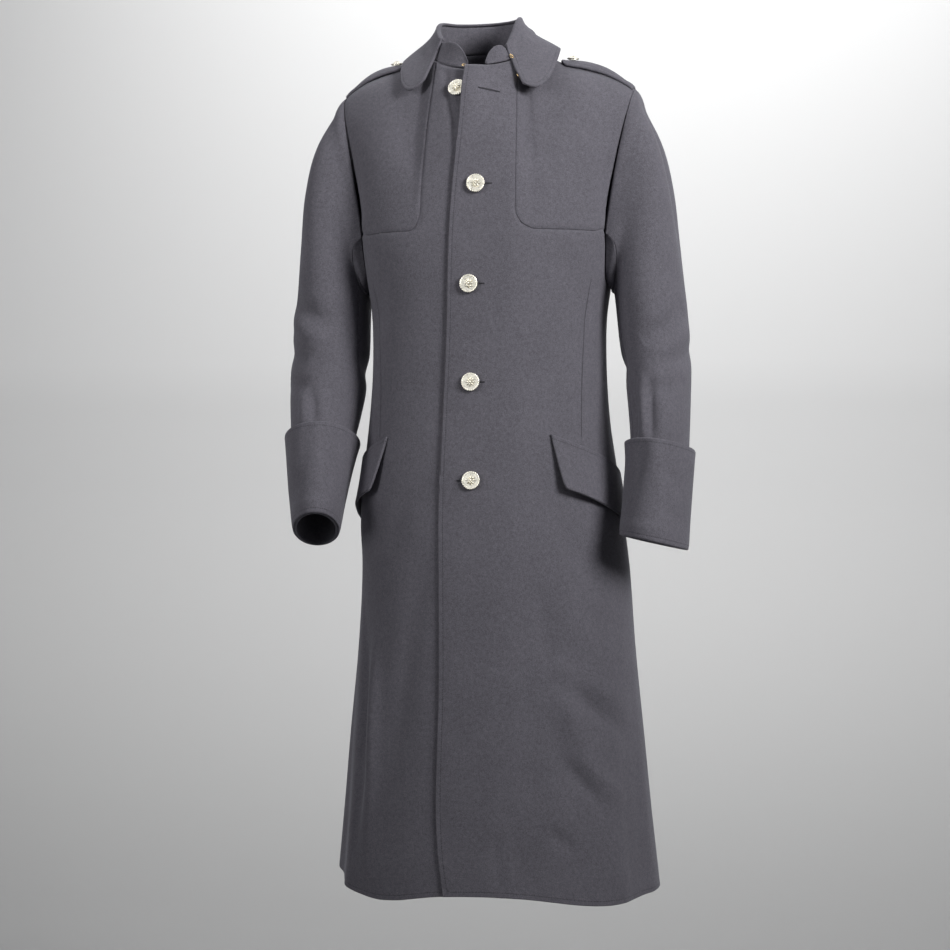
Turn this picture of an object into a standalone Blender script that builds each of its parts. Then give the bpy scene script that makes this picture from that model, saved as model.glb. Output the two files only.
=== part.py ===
"""Military greatcoat, single breasted, worn by nobody but keeping the form of a general figure.

Metres, +Z up, the front faces -Y, the wearer's left is +X. The origin is the middle of the neck
opening at the level of the neck's base, on the upright line through the middle of the body.
Turns round the body are in degrees: 0 at the centre front, 90 at the wearer's left side, 180 behind.
"""
import bpy
import bmesh
from collections import namedtuple
from math import asin, copysign, cos, degrees, exp, pi, radians, sin, sqrt
from mathutils import Matrix, Vector
from mathutils.bvhtree import BVHTree

CLOTH = 0.0026              # melton wool, one layer
DOUBLE_CLOTH = 0.0036       # collar, cuffs, flaps and straps are two layers pressed together
SEAM_GAP = 0.0003
LAID_GAP = 0.0007           # between a panel and what is laid on it
NOTCH_HEIGHT = -0.268       # the yoke's lower seam, which meets the armhole
UNDERARM_DROP = 0.068
HEM_HEIGHT = -1.196
LOW_ROWS = 17               # from the hem to the notch
HIGH_ROWS = 6               # from the notch to the shoulder and the neck
FRONT_LAP_LIFT = 0.0040     # the left front rides over the right one
LAP_LIFT_FULL, LAP_LIFT_END = 0.050, 0.095
TOP_LIFT = 0.0095           # its open top stands out further, over the top button's rim
TOP_LIFT_HEIGHT, TOP_LIFT_SPREAD = -0.060, 0.045
TOP_LIFT_FULL, TOP_LIFT_END = -0.015, 0.030

LEFT, RIGHT = 1, -1
SIDE_NAME = {LEFT: "left", RIGHT: "right"}

Ring = namedtuple("Ring", "height across front back square sway")
TORSO = (
    Ring(-0.180, 0.1900, 0.1300, 0.1310, 2.50, 0.000),
    Ring(-0.268, 0.1870, 0.1360, 0.1300, 2.60, 0.000),
    Ring(-0.310, 0.1800, 0.1355, 0.1260, 2.55, 0.000),
    Ring(-0.370, 0.1705, 0.1330, 0.1170, 2.45, 0.000),
    Ring(-0.457, 0.1695, 0.1310, 0.1090, 2.35, 0.000),
    Ring(-0.545, 0.1760, 0.1340, 0.1130, 2.30, 0.000),
    Ring(-0.603, 0.1840, 0.1390, 0.1220, 2.25, 0.001),
    Ring(-0.670, 0.1910, 0.1440, 0.1320, 2.20, 0.003),
    Ring(-0.750, 0.1945, 0.1480, 0.1400, 2.20, 0.009),
    Ring(-0.864, 0.2012, 0.1540, 0.1500, 2.20, 0.009),
    Ring(-0.980, 0.2110, 0.1610, 0.1610, 2.20, 0.008),
    Ring(-1.097, 0.2200, 0.1680, 0.1720, 2.20, 0.008),
    Ring(-1.220, 0.2320, 0.1750, 0.1840, 2.20, 0.009),
)

Fold = namedtuple("Fold", "turn depth width top lean")
SKIRT_FOLDS = (
    Fold(-58, 0.0050, 9, -0.70, 0),
    Fold(-74, -0.0085, 9, -0.72, 4),
    Fold(-97, 0.0105, 12, -0.76, -8),
    Fold(-131, 0.0110, 11, -0.72, 6),
    Fold(-152, -0.0070, 10, -0.70, 0),
    Fold(46, 0.0045, 12, -0.84, 10),
    Fold(70, -0.0060, 11, -0.86, 6),
    Fold(94, 0.0085, 12, -0.74, -6),
    Fold(128, 0.0120, 12, -0.72, -8),
    Fold(154, -0.0075, 11, -0.72, 0),
)

HemPoint = namedtuple("HemPoint", "turn lift")
HEM = (
    HemPoint(-180, 0.002),
    HemPoint(-90, 0.014),
    HemPoint(-60, 0.002),
    HemPoint(-35, -0.008),
    HemPoint(-10, 0.004),
    HemPoint(10, 0.005),
    HemPoint(45, -0.010),
    HemPoint(90, -0.006),
    HemPoint(180, 0.002),
)

EdgePoint = namedtuple("EdgePoint", "height x")
LEFT_FRONT_EDGE = (
    EdgePoint(-0.036, -0.0200),
    EdgePoint(-0.066, -0.0226),
    EdgePoint(-0.150, -0.0275),
    EdgePoint(-0.268, -0.0360),
    EdgePoint(-0.400, -0.0400),
    EdgePoint(-0.545, -0.0460),
    EdgePoint(-0.660, -0.0490),
    EdgePoint(-0.900, -0.0462),
    EdgePoint(-1.100, -0.0475),
    EdgePoint(-1.210, -0.0340),
)
RIGHT_FRONT_EDGE = (
    EdgePoint(-0.036, 0.0030),
    EdgePoint(-0.130, 0.0200),
    EdgePoint(-0.268, 0.0330),
    EdgePoint(-0.660, 0.0330),
    EdgePoint(-1.210, 0.0330),
)

NECK_X, NECK_Y = -0.009, -0.022
NECK_HALF_WIDTH, NECK_BACK, NECK_FRONT = 0.080, 0.074, 0.068
NECK_BACK_HEIGHT, NECK_SIDE_HEIGHT, NECK_FRONT_HEIGHT = 0.010, 0.001, -0.036
NECK_SIDE_ANGLE = 93
SHOULDER_TIP = Vector((0.213, 0.004, -0.055))
SHOULDER_WAVE = 0.004

# Columns of the strip of cloth round the body, from the centre front to the centre back. The angle is
# where the column ends on the neckline, and the share is how far along the shoulder seam it ends.
Column = namedtuple("Column", "turn angle share")
Place = namedtuple("Place", "turn_of top pull angle")
FRONT_NECK = {
    LEFT: (Column(2.6, 162, None), Column(7.4, 146, None), Column(12.3, 130, None),
           Column(18.5, 112, None)),
    RIGHT: (Column(5.5, 160, None), Column(12, 147, None), Column(18.6, 134, None),
            Column(22.5, 113, None)),
}
SHOULDER = {
    LEFT: (Column(25.5, None, 0.0), Column(36, None, 0.27), Column(46.5, None, 0.52),
           Column(57, None, 0.77), Column(67, None, 1.0)),
    RIGHT: (Column(28, None, 0.0), Column(37, None, 0.27), Column(46.5, None, 0.52),
            Column(57, None, 0.77), Column(67, None, 1.0)),
}
SIDE_TURNS = (76, 85, 95, 104)
SIDE_SEAM_TURN = 95
BACK_SHOULDER_TURNS = (113, 123, 134, 145, 155)
BACK_NECK = (Column(163.5, 62, None), Column(172, 31, None))
YOKE_CORNER_PULL = 0.30     # rounds the yoke's lower inner corner
NECK_PULL_FRONT, NECK_PULL_BACK = Vector((0, 0.132, 0.199)), Vector((0, -0.132, 0.199))
SHOULDER_PULL_FRONT, SHOULDER_PULL_BACK = Vector((0, 0.25, 0.03)), Vector((0, -0.25, -0.03))

SleeveRing = namedtuple("SleeveRing", "height x y half_width half_depth lean roll yaw")
SLEEVE = {
    LEFT: (
        SleeveRing(-0.350, 0.2330, 0.0036, 0.0505, 0.0794, 0, 0, 0),
        SleeveRing(-0.430, 0.2410, 0.000, 0.0505, 0.078, 5, 2, 0),
        SleeveRing(-0.490, 0.2465, -0.014, 0.0460, 0.076, 9, 4, 0),
        SleeveRing(-0.585, 0.2505, -0.040, 0.0410, 0.070, 9, 7, 0),
        SleeveRing(-0.645, 0.2485, -0.060, 0.0430, 0.066, 7, 10, 0),
        SleeveRing(-0.705, 0.2455, -0.078, 0.0455, 0.064, 4, 12, 0),
    ),
    RIGHT: (
        SleeveRing(-0.350, 0.2325, 0.0036, 0.0520, 0.0808, 0, 0, 0),
        SleeveRing(-0.430, 0.2355, -0.004, 0.0560, 0.076, 8, 0, 2),
        SleeveRing(-0.490, 0.2365, -0.020, 0.0545, 0.073, 15, 0, 5),
        SleeveRing(-0.577, 0.2385, -0.052, 0.0430, 0.072, 21, 0, 9),
        SleeveRing(-0.635, 0.2380, -0.075, 0.0365, 0.070, 21, 0, 11),
        SleeveRing(-0.688, 0.2355, -0.096, 0.0300, 0.068, 21, 0, 12),
    ),
}
SEAM_TWIST = 38             # how far the sleeve's two seams turn in under the arm, in degrees
NOTCH_ANGLE = 112           # round the sleeve, from its outer edge to the armhole's front notch
CAP_LEAVE = {LEFT: 0.26, RIGHT: 0.40}       # how far outward the sleeve's head leaves the shoulder
CAP_ROWS = 4
ARM_ROWS = 10
CUFF_SHARE = 0.623          # of the way from the biceps to the sleeve's end, where the cuff starts
CUFF_ROWS = 4
CUFF_STAND = 0.0045         # the cuff's upper edge stands off the sleeve

StandPoint = namedtuple("StandPoint", "angle radius height")
STAND_TOP = (
    StandPoint(-174, 0.0690, -0.026),
    StandPoint(-168, 0.0690, -0.010),
    StandPoint(-158, 0.0690, 0.002),
    StandPoint(-147, 0.0670, 0.006),
    StandPoint(-128, 0.0625, 0.009),
    StandPoint(-105, 0.0620, 0.024),
    StandPoint(-80, 0.0635, 0.041),
    StandPoint(-40, 0.0670, 0.047),
    StandPoint(0, 0.0680, 0.050),
    StandPoint(40, 0.0620, 0.049),
    StandPoint(80, 0.0560, 0.046),
    StandPoint(105, 0.0560, 0.034),
    StandPoint(125, 0.0590, 0.010),
    StandPoint(138, 0.0650, -0.004),
    StandPoint(146, 0.0690, -0.001),
    StandPoint(155, 0.0700, -0.004),
    StandPoint(162, 0.0700, -0.013),
    StandPoint(167, 0.0695, -0.028),
)
STAND_ROWS = 2
STAND_RISE = 0.0014          # the stand starts just above the neckline
LeafPoint = namedtuple("LeafPoint", "angle radius height")
LEAF_EDGE = (
    LeafPoint(-137, 0.1010, -0.048),
    LeafPoint(-134.5, 0.1130, -0.064),
    LeafPoint(-130, 0.1170, -0.066),
    LeafPoint(-122, 0.1210, -0.060),
    LeafPoint(-112, 0.1200, -0.042),
    LeafPoint(-100, 0.1165, -0.020),
    LeafPoint(-88, 0.1130, -0.006),
    LeafPoint(-72, 0.1100, 0.000),
    LeafPoint(-45, 0.1110, -0.006),
    LeafPoint(0, 0.1180, -0.014),
    LeafPoint(45, 0.1160, -0.006),
    LeafPoint(72, 0.1150, 0.002),
    LeafPoint(86, 0.1160, 0.004),
    LeafPoint(98, 0.1180, -0.008),
    LeafPoint(110, 0.1210, -0.030),
    LeafPoint(120, 0.1260, -0.050),
    LeafPoint(129, 0.1265, -0.065),
    LeafPoint(135.5, 0.1245, -0.069),
    LeafPoint(139.5, 0.1120, -0.060),
)
LEAF_FOLD_ANGLES = (-127, 138)      # where the fold line ends on each side
FALL_ROWS = 5
FALL_CLEAR = 0.0052         # the fall's outer face above the cloth it lies on

STRAP_LENGTH_SHARE = (0.26, 0.985)
STRAP_HALF_WIDTH = 0.021
STRAP_BOW = 0.007

Flap = namedtuple("Flap", "turn height edge_lean")
FLAPS = {LEFT: Flap(33.0, -0.553, 8.0), RIGHT: Flap(-44.0, -0.556, 11.0)}
FLAP_LENGTH, FLAP_DEPTH = 0.172, 0.077
FLAP_SLANT = 19
FLAP_GAP = 0.0010            # between the flap and the coat at its sewn edge
FLAP_STAND = 0.011

BUTTON_RADIUS = 0.0131
STRAP_BUTTON_RADIUS = 0.0085
ButtonPlace = namedtuple("ButtonPlace", "name x height panel")
BUTTONS = (
    ButtonPlace("button_1", -0.0290, -0.0660, "front_right"),
    ButtonPlace("button_2", 0.0030, -0.2044, "front_left"),
    ButtonPlace("button_3", -0.0065, -0.3435, "front_left"),
    ButtonPlace("button_4", -0.0045, -0.4805, "front_left"),
    ButtonPlace("button_5", -0.0024, -0.6178, "front_left"),
)


def clear_scene():
    for item in list(bpy.data.objects):
        bpy.data.objects.remove(item, do_unlink=True)


def make_material(name, colour, roughness, metallic):
    material = bpy.data.materials.new(name)
    material.use_nodes = True
    shader = material.node_tree.nodes["Principled BSDF"]
    shader.inputs["Base Color"].default_value = (*colour, 1.0)
    shader.inputs["Roughness"].default_value = roughness
    shader.inputs["Metallic"].default_value = metallic
    material.diffuse_color = (*colour, 1.0)
    return material


def ease(share):
    share = min(1.0, max(0.0, share))
    return share * share * (3 - 2 * share)


def row_at(table, key):
    """The values of a table at a key, on a smooth curve through its rows. The first field is the key."""
    rows = sorted(table)
    key = min(max(key, rows[0][0]), rows[-1][0])
    place = 0
    while place < len(rows) - 2 and key > rows[place + 1][0]:
        place += 1
    low, high = rows[place], rows[place + 1]
    before, after = rows[max(place - 1, 0)], rows[min(place + 2, len(rows) - 1)]
    span = high[0] - low[0]
    t = (key - low[0]) / span
    values = [key]
    for field in range(1, len(low)):
        start = (high[field] - before[field]) / (high[0] - before[0]) * span
        end = (after[field] - low[field]) / (after[0] - low[0]) * span
        values.append(hermite(low[field], start, high[field], end, t))
    return type(low)(*values)


def hermite(start, start_pull, end, end_pull, t):
    """A cubic between two values or points, leaving and arriving along the two pulls."""
    return (start * (2 * t ** 3 - 3 * t ** 2 + 1) + start_pull * (t ** 3 - 2 * t ** 2 + t)
            + end * (3 * t ** 2 - 2 * t ** 3) + end_pull * (t ** 3 - t ** 2))


def wrap(turn):
    return (turn + 180) % 360 - 180


def torso(turn, height):
    """A point of the coat's outer face below the armholes."""
    ring = row_at(TORSO, height)
    s, c = sin(radians(turn)), cos(radians(turn))
    power = 2 / ring.square
    depth = ring.front if c > 0 else ring.back
    x = ring.across * copysign(abs(s) ** power, s)
    y = -depth * copysign(abs(c) ** power, c)
    swell = 0.0
    for fold in SKIRT_FOLDS:
        if height < fold.top:
            away = wrap(turn - fold.turn - fold.lean * (fold.top - height)) / fold.width
            swell += fold.depth * ease((fold.top - height) / (fold.top - HEM_HEIGHT)) * exp(-away * away)
    return Vector((x + ring.sway, y, height)) + Vector((s, -c, 0)) * swell


def turn_at(x, height):
    """The turn of a point of the front at a distance from the centre."""
    ring = row_at(TORSO, height)
    share = (x - ring.sway) / ring.across
    return degrees(asin(copysign(abs(share) ** (ring.square / 2), share)))


def facing(turn, height):
    """The outward direction of the coat below the armholes."""
    along = torso(turn + 0.5, height) - torso(turn - 0.5, height)
    up = torso(turn, height + 0.004) - torso(turn, height - 0.004)
    return along.cross(up).normalized()


def hem_height(turn):
    return HEM_HEIGHT + row_at(HEM, wrap(turn)).lift


def neckline(angle):
    """A point of the neckline. The angle is from the centre back, positive to the wearer's left."""
    s, c = sin(radians(angle)), cos(radians(angle))
    reach = NECK_BACK if c > 0 else NECK_FRONT
    if c > 0:
        height = NECK_SIDE_HEIGHT + (NECK_BACK_HEIGHT - NECK_SIDE_HEIGHT) * c ** 2
    else:
        height = NECK_SIDE_HEIGHT + (NECK_FRONT_HEIGHT - NECK_SIDE_HEIGHT) * abs(c) ** 1.4
    return Vector((NECK_X + NECK_HALF_WIDTH * s, NECK_Y + reach * c, height))


def shoulder_seam(side, share):
    start = neckline(side * NECK_SIDE_ANGLE)
    end = Vector((side * SHOULDER_TIP.x, SHOULDER_TIP.y, SHOULDER_TIP.z))
    return start.lerp(end, share) - Vector((0, 0, SHOULDER_WAVE * sin(2 * pi * share)))


def underarm_height(turn):
    """The top of the side panels: the armhole's lower curve."""
    away = (abs(wrap(turn)) - 90) / 23
    return NOTCH_HEIGHT - UNDERARM_DROP * sqrt(max(0.0, 1 - away * away))


def front_lift(point):
    """How far the left front stands off the right one's face."""
    lap = ease((LAP_LIFT_END - point.x) / (LAP_LIFT_END - LAP_LIFT_FULL))
    top = ease((TOP_LIFT_END - point.x) / (TOP_LIFT_END - TOP_LIFT_FULL))
    away = (point.z - TOP_LIFT_HEIGHT) / TOP_LIFT_SPREAD
    return FRONT_LAP_LIFT * lap + TOP_LIFT * top * exp(-away * away)


def place_of(side, column, behind):
    """A column's turn at each height, where it ends, the pull that it arrives with and its neck angle."""
    def turn_of(height):
        return side * column.turn
    if column.share is None:
        pull = NECK_PULL_BACK if behind else NECK_PULL_FRONT
        return Place(turn_of, neckline(side * column.angle), pull, side * column.angle)
    pull = SHOULDER_PULL_BACK if behind else SHOULDER_PULL_FRONT
    angle = side * NECK_SIDE_ANGLE if column.share == 0 else None
    return Place(turn_of, shoulder_seam(side, column.share), pull, angle)


def front_columns(side):
    """The places of one front's columns, from its edge to the armhole."""
    edge_table = LEFT_FRONT_EDGE if side == LEFT else RIGHT_FRONT_EDGE
    first = FRONT_NECK[side][0]
    made = []
    for step in (0.0, 0.5):
        def turn_of(height, step=step):
            edge_turn = turn_at(row_at(edge_table, height).x, height)
            return edge_turn + (side * first.turn - edge_turn) * step
        edge_top = row_at(edge_table, NECK_FRONT_HEIGHT).x
        edge_angle = 180 + side * degrees(asin((NECK_X - edge_top) / NECK_HALF_WIDTH))
        angle = edge_angle + (first.angle - edge_angle) * step
        made.append(place_of(side, Column(0, angle, None), False)._replace(turn_of=turn_of))
    made += [place_of(side, column, False) for column in FRONT_NECK[side] + SHOULDER[side]]
    return made


def back_columns(side):
    """The places of one back's columns, from the armhole to the centre back."""
    made = [place_of(side, column._replace(turn=turn), True)
            for turn, column in zip(BACK_SHOULDER_TURNS, reversed(SHOULDER[side]))]
    return made + [place_of(side, column, True) for column in BACK_NECK + (Column(180, 0, None),)]


def high_point(column, share):
    """A point of a column above the notch, from 0 at the notch to 1 at its top."""
    turn_of, top, pull, _ = column
    base = torso(turn_of(NOTCH_HEIGHT), NOTCH_HEIGHT)
    below = torso(turn_of(NOTCH_HEIGHT - 0.01), NOTCH_HEIGHT - 0.01)
    above = torso(turn_of(NOTCH_HEIGHT + 0.01), NOTCH_HEIGHT + 0.01)
    rise = (above - below) / 0.02 * (top.z - NOTCH_HEIGHT)
    return hermite(base, rise, top, pull, share)


def low_point(column, row, top_height):
    turn_of = column.turn_of
    bottom = hem_height(turn_of(HEM_HEIGHT))
    height = bottom + (top_height - bottom) * row / LOW_ROWS
    return torso(turn_of(height), height)


class Strip:
    """The whole coat as one surface of named points, so that its pieces share points and directions."""

    def __init__(self):
        self.points = {}
        self.cells = {}
        self.neck_edge = {}
        self.armhole_keys = {}
        for side in (LEFT, RIGHT):
            self.add_body(side)
        for side in (LEFT, RIGHT):
            self.add_sleeve(side)
        self.directions = directions_of(self.all_cells(), self.points)
        self.lift_left_front()
        self.directions = directions_of(self.all_cells(), self.points)

    def all_cells(self):
        return [cell for cells in self.cells.values() for cell in cells]

    def key(self, side, index, row):
        """The point's name. The back's shoulder and centre columns reuse the points they are sewn to."""
        count = len(self.places)
        back_first = self.back_first
        if row == LOW_ROWS + HIGH_ROWS and back_first <= index <= back_first + len(SHOULDER[side]) - 1:
            index = self.front_armhole - (index - back_first)
        if index == count - 1:
            return ("centre_back", row)
        return (side, index, row)

    def add_body(self, side):
        fronts = front_columns(side)
        backs = back_columns(side)
        sides = [Place(lambda height, turn=side * turn: turn, None, None, None) for turn in SIDE_TURNS]
        self.places = fronts + sides + backs
        self.front_armhole = len(fronts) - 1
        self.side_seam = self.front_armhole + 1 + SIDE_TURNS.index(SIDE_SEAM_TURN)
        self.back_first = len(fronts) + len(sides)
        self.yoke_column = 4
        last = len(self.places) - 1
        for index, column in enumerate(self.places):
            under = self.front_armhole < index < self.back_first
            top_height = underarm_height(column.turn_of(NOTCH_HEIGHT)) if under else NOTCH_HEIGHT
            for row in range(LOW_ROWS + 1):
                self.points.setdefault(self.key(side, index, row), low_point(column, row, top_height))
            if under:
                continue
            for row in range(1, HIGH_ROWS + 1):
                place = self.key(side, index, LOW_ROWS + row)
                self.points.setdefault(place, high_point(column, row / HIGH_ROWS))
            if column.angle is not None:
                self.neck_edge[column.angle] = place
        self.round_yoke_corner(side)
        front_low = [(index, row) for index in range(self.side_seam) for row in range(LOW_ROWS)]
        front_high = [(index, row) for index in range(self.yoke_column) for row in self.high_rows()]
        yoke = [(i, row) for i in range(self.yoke_column, self.front_armhole) for row in self.high_rows()]
        back_low = [(index, row) for index in range(self.side_seam, last) for row in range(LOW_ROWS)]
        back_high = [(index, row) for index in range(self.back_first, last) for row in self.high_rows()]
        name = SIDE_NAME[side]
        self.cells["front_" + name] = self.quads(side, front_low + front_high)
        self.cells["yoke_" + name] = self.quads(side, yoke)
        self.cells["back_" + name] = self.quads(side, back_low + back_high)

    def high_rows(self):
        return range(LOW_ROWS, LOW_ROWS + HIGH_ROWS)

    def quads(self, side, corners):
        made = []
        for index, row in corners:
            quad = [self.key(side, index, row), self.key(side, index + 1, row),
                    self.key(side, index + 1, row + 1), self.key(side, index, row + 1)]
            made.append(tuple(quad if side == LEFT else reversed(quad)))
        return made

    def round_yoke_corner(self, side):
        corner = self.key(side, self.yoke_column, LOW_ROWS)
        above = self.points[self.key(side, self.yoke_column, LOW_ROWS + 1)]
        beside = self.points[self.key(side, self.yoke_column + 1, LOW_ROWS)]
        here = self.points[corner]
        self.points[corner] = here + ((above - here) + (beside - here)) * YOKE_CORNER_PULL

    def armhole(self, side):
        """The armhole's points in order from the shoulder tip, forward and round, with their angles."""
        top = LOW_ROWS + HIGH_ROWS
        keys = [self.key(side, self.front_armhole, top - step) for step in range(HIGH_ROWS + 1)]
        keys += [self.key(side, index, LOW_ROWS) for index in range(self.front_armhole + 1, self.back_first)]
        keys += [self.key(side, self.back_first, LOW_ROWS + step) for step in range(HIGH_ROWS)]
        under = len(SIDE_TURNS) + 1
        angles = [NOTCH_ANGLE * step / HIGH_ROWS for step in range(HIGH_ROWS + 1)]
        angles += [NOTCH_ANGLE + (360 - 2 * NOTCH_ANGLE) * step / under for step in range(1, under)]
        angles += [360 - NOTCH_ANGLE * (HIGH_ROWS - step) / HIGH_ROWS for step in range(HIGH_ROWS)]
        return keys, angles

    def add_sleeve(self, side):
        keys, angles = self.armhole(side)
        rows = [keys]
        for row in range(1, CAP_ROWS + ARM_ROWS + 1):
            names = []
            for place, angle in enumerate(angles):
                name = ("sleeve", side, row, place)
                if row <= CAP_ROWS:
                    point = cap_point(side, self.points[keys[place]], angle, row / CAP_ROWS)
                else:
                    share = (row - CAP_ROWS) / ARM_ROWS
                    point = arm_point(side, share, twisted(angle), 0.0)
                self.points[name] = point
                names.append(name)
            rows.append(names)
        front_notch = HIGH_ROWS
        back_notch = HIGH_ROWS + len(SIDE_TURNS) + 1
        around = len(keys)
        for part, places in (("top", [*range(back_notch, around), *range(front_notch)]),
                             ("under", range(front_notch, back_notch))):
            made = []
            for upper, lower in zip(rows, rows[1:]):
                for place in places:
                    after = (place + 1) % around
                    quad = [upper[place], lower[place], lower[after], upper[after]]
                    made.append(tuple(reversed(quad) if side == LEFT else quad))
            self.cells["sleeve_%s_%s" % (SIDE_NAME[side], part)] = made
        self.armhole_keys[side] = keys

    def lift_left_front(self):
        """Lays the left front over the right one."""
        keys = dict.fromkeys(key for cell in self.cells["front_left"] for key in cell)
        for key in keys:
            point = self.points[key]
            if point.y < 0:
                self.points[key] = point + self.directions[key] * front_lift(point)

    def tree(self, names):
        """The outer faces of some pieces, for laying other pieces on them."""
        cells = [cell for name in names for cell in self.cells[name]]
        keys = list(dict.fromkeys(key for cell in cells for key in cell))
        number = {key: place for place, key in enumerate(keys)}
        polygons = []
        for cell in cells:
            corners = [number[key] for key in cell]
            polygons.append((corners[0], corners[1], corners[2]))
            polygons.append((corners[0], corners[2], corners[3]))
        return BVHTree.FromPolygons([self.points[key] for key in keys], polygons)


def directions_of(cells, points):
    """The outward direction at each point: the mean of its cells' directions, by corner angle."""
    total = {}
    for cell in cells:
        count = len(cell)
        corners = [points[key] for key in cell]
        flat = (corners[2] - corners[0]).cross(corners[3] - corners[1]).normalized()
        for place, key in enumerate(cell):
            one = corners[(place + 1) % count] - corners[place]
            other = corners[place - 1] - corners[place]
            total[key] = total.get(key, Vector((0, 0, 0))) + flat * one.angle(other, 0.0)
    return {key: vector.normalized() for key, vector in total.items()}


def arm_ring(side, share):
    table = SLEEVE[side]
    heights = [-ring.height for ring in table]
    height = heights[0] + (heights[-1] - heights[0]) * share
    return row_at([ring._replace(height=-ring.height) for ring in table], height)


def arm_point(side, share, angle, outset):
    """A point of the sleeve below the biceps. The angle runs from its outer edge forward."""
    ring = arm_ring(side, share)
    lean, roll, yaw = radians(ring.lean), radians(ring.roll), radians(ring.yaw)
    across = Vector((side * cos(roll) * cos(yaw), side * cos(roll) * sin(yaw), -sin(roll)))
    ahead = Vector((cos(lean) * sin(yaw), -cos(lean) * cos(yaw), sin(lean)))
    centre = Vector((side * ring.x, ring.y, -ring.height))
    wide = (ring.half_width + outset) * cos(radians(angle))
    deep = (ring.half_depth + outset) * sin(radians(angle))
    return centre + across * wide + ahead * deep


def twisted(angle):
    """The angle round the sleeve at which a column lies, once its seams have turned in under the arm."""
    turned = NOTCH_ANGLE + SEAM_TWIST
    if angle <= NOTCH_ANGLE:
        return angle * turned / NOTCH_ANGLE
    if angle >= 360 - NOTCH_ANGLE:
        return 360 - (360 - angle) * turned / NOTCH_ANGLE
    return 180 + (angle - 180) * (180 - turned) / (180 - NOTCH_ANGLE)


def cap_point(side, seam_point, angle, share):
    """A point of the sleeve between the armhole and the biceps."""
    end = arm_point(side, 0.0, twisted(angle), 0.0)
    reach = (end - seam_point).length
    s, c = sin(radians(angle)), cos(radians(angle))
    inner = max(0.0, -c)
    leave = Vector((side * (CAP_LEAVE[side] + (1 - CAP_LEAVE[side]) * abs(s) - 0.34 * inner), -0.22 * s,
                    -(0.80 - 0.47 * abs(s) + 0.25 * inner))).normalized()
    arrive = (arm_point(side, 0.04, twisted(angle), 0.0) - end).normalized()
    return hermite(seam_point, leave * reach, end, arrive * reach, share)


def open_edges(cells):
    """The edges that only one cell has, as a map from each edge's start to its end."""
    sides = set()
    for cell in cells:
        for start, end in zip(cell, cell[1:] + cell[:1]):
            sides.add((start, end))
    ordered = []
    for cell in cells:
        for start, end in zip(cell, cell[1:] + cell[:1]):
            if (end, start) not in sides:
                ordered.append((start, end))
    return ordered


def drawn_back(cells, points, directions):
    """The cells' points, with those on an open edge drawn back by half the seam gap."""
    inward = {}
    for start, end in open_edges(cells):
        run = (points[end] - points[start]).normalized()
        normal = (directions[start] + directions[end]).normalized()
        aside = normal.cross(run).normalized()
        inward.setdefault(start, []).append(aside)
        inward.setdefault(end, []).append(aside)
    made = {key: points[key].copy() for cell in cells for key in cell}
    for key, asides in inward.items():
        total = sum(asides, Vector((0, 0, 0)))
        share = max(0.5, 1 + asides[0].dot(asides[-1])) if len(asides) > 1 else 1
        made[key] += total / share * SEAM_GAP / 2
    return made


def wall_object(name, cells, outer, inner, material):
    """A closed wall between two faces that have the same cells. Its rims are split the same way as the
    rims they are sewn to, so that two twisted rims stay apart."""
    shape = bmesh.new()
    keys = list(dict.fromkeys(key for cell in cells for key in cell))
    front = {key: shape.verts.new(outer[key]) for key in keys}
    rear = {key: shape.verts.new(inner[key]) for key in keys}
    for cell in cells:
        shape.faces.new([front[key] for key in cell])
        shape.faces.new([rear[key] for key in reversed(cell)])
    for edge in open_edges(cells):
        start, end = sorted(edge, key=str)
        shape.faces.new((front[end], front[start], rear[start]))
        shape.faces.new((front[end], rear[start], rear[end]))
    bmesh.ops.recalc_face_normals(shape, faces=shape.faces)
    return mesh_object(name, shape, material)


def mesh_object(name, shape, material):
    mesh = bpy.data.meshes.new(name)
    shape.to_mesh(mesh)
    shape.free()
    mesh.shade_smooth()
    mesh.set_sharp_from_angle(angle=radians(50))
    mesh.materials.append(material)
    item = bpy.data.objects.new(name, mesh)
    coat_parts.objects.link(item)
    return item


def sewn_piece(strip, name, material, points=None):
    cells = strip.cells[name]
    outer = drawn_back(cells, points or strip.points, strip.directions)
    inner = {key: point - strip.directions[key] * CLOTH for key, point in outer.items()}
    return wall_object(name, cells, outer, inner, material)


def grid_cells(columns, rows, closed=False):
    """Cells over points named (column, row), with the outward side where columns run to the right."""
    last = columns if closed else columns - 1
    return [((c, r), ((c + 1) % columns, r), ((c + 1) % columns, r + 1), (c, r + 1))
            for c in range(last) for r in range(rows - 1)]


def laid_piece(name, points, columns, rows, thickness, material, closed=False):
    """A piece of two layers over a grid of points of its outer face."""
    cells = grid_cells(columns, rows, closed)
    directions = directions_of(cells, points)
    inner = {key: points[key] - directions[key] * thickness for key in points}
    return wall_object(name, cells, points, inner, material)


def make_cuff(strip, side, material):
    angles = [twisted(angle) for angle in strip.armhole(side)[1]]
    if side == RIGHT:
        angles = list(reversed(angles))
    points = {}
    for row in range(CUFF_ROWS + 1):
        rise = row / CUFF_ROWS
        share = 1.0 + (CUFF_SHARE - 1.0) * rise
        outset = LAID_GAP + DOUBLE_CLOTH + CUFF_STAND * rise ** 1.5
        for column, angle in enumerate(angles):
            points[(column, row)] = arm_point(side, share, -angle, outset)
    laid_piece("cuff_" + SIDE_NAME[side], points, len(angles), CUFF_ROWS + 1, DOUBLE_CLOTH, material, True)


def stand_base(strip, angle):
    """A point just above the body's neck edge."""
    angles = sorted(strip.neck_edge)
    after = min(place for place, known in enumerate(angles) if known >= angle and place > 0)
    low, high = angles[after - 1], angles[after]
    start, end = strip.points[strip.neck_edge[low]], strip.points[strip.neck_edge[high]]
    return start.lerp(end, (angle - low) / (high - low)) + Vector((0, 0, STAND_RISE))


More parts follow.
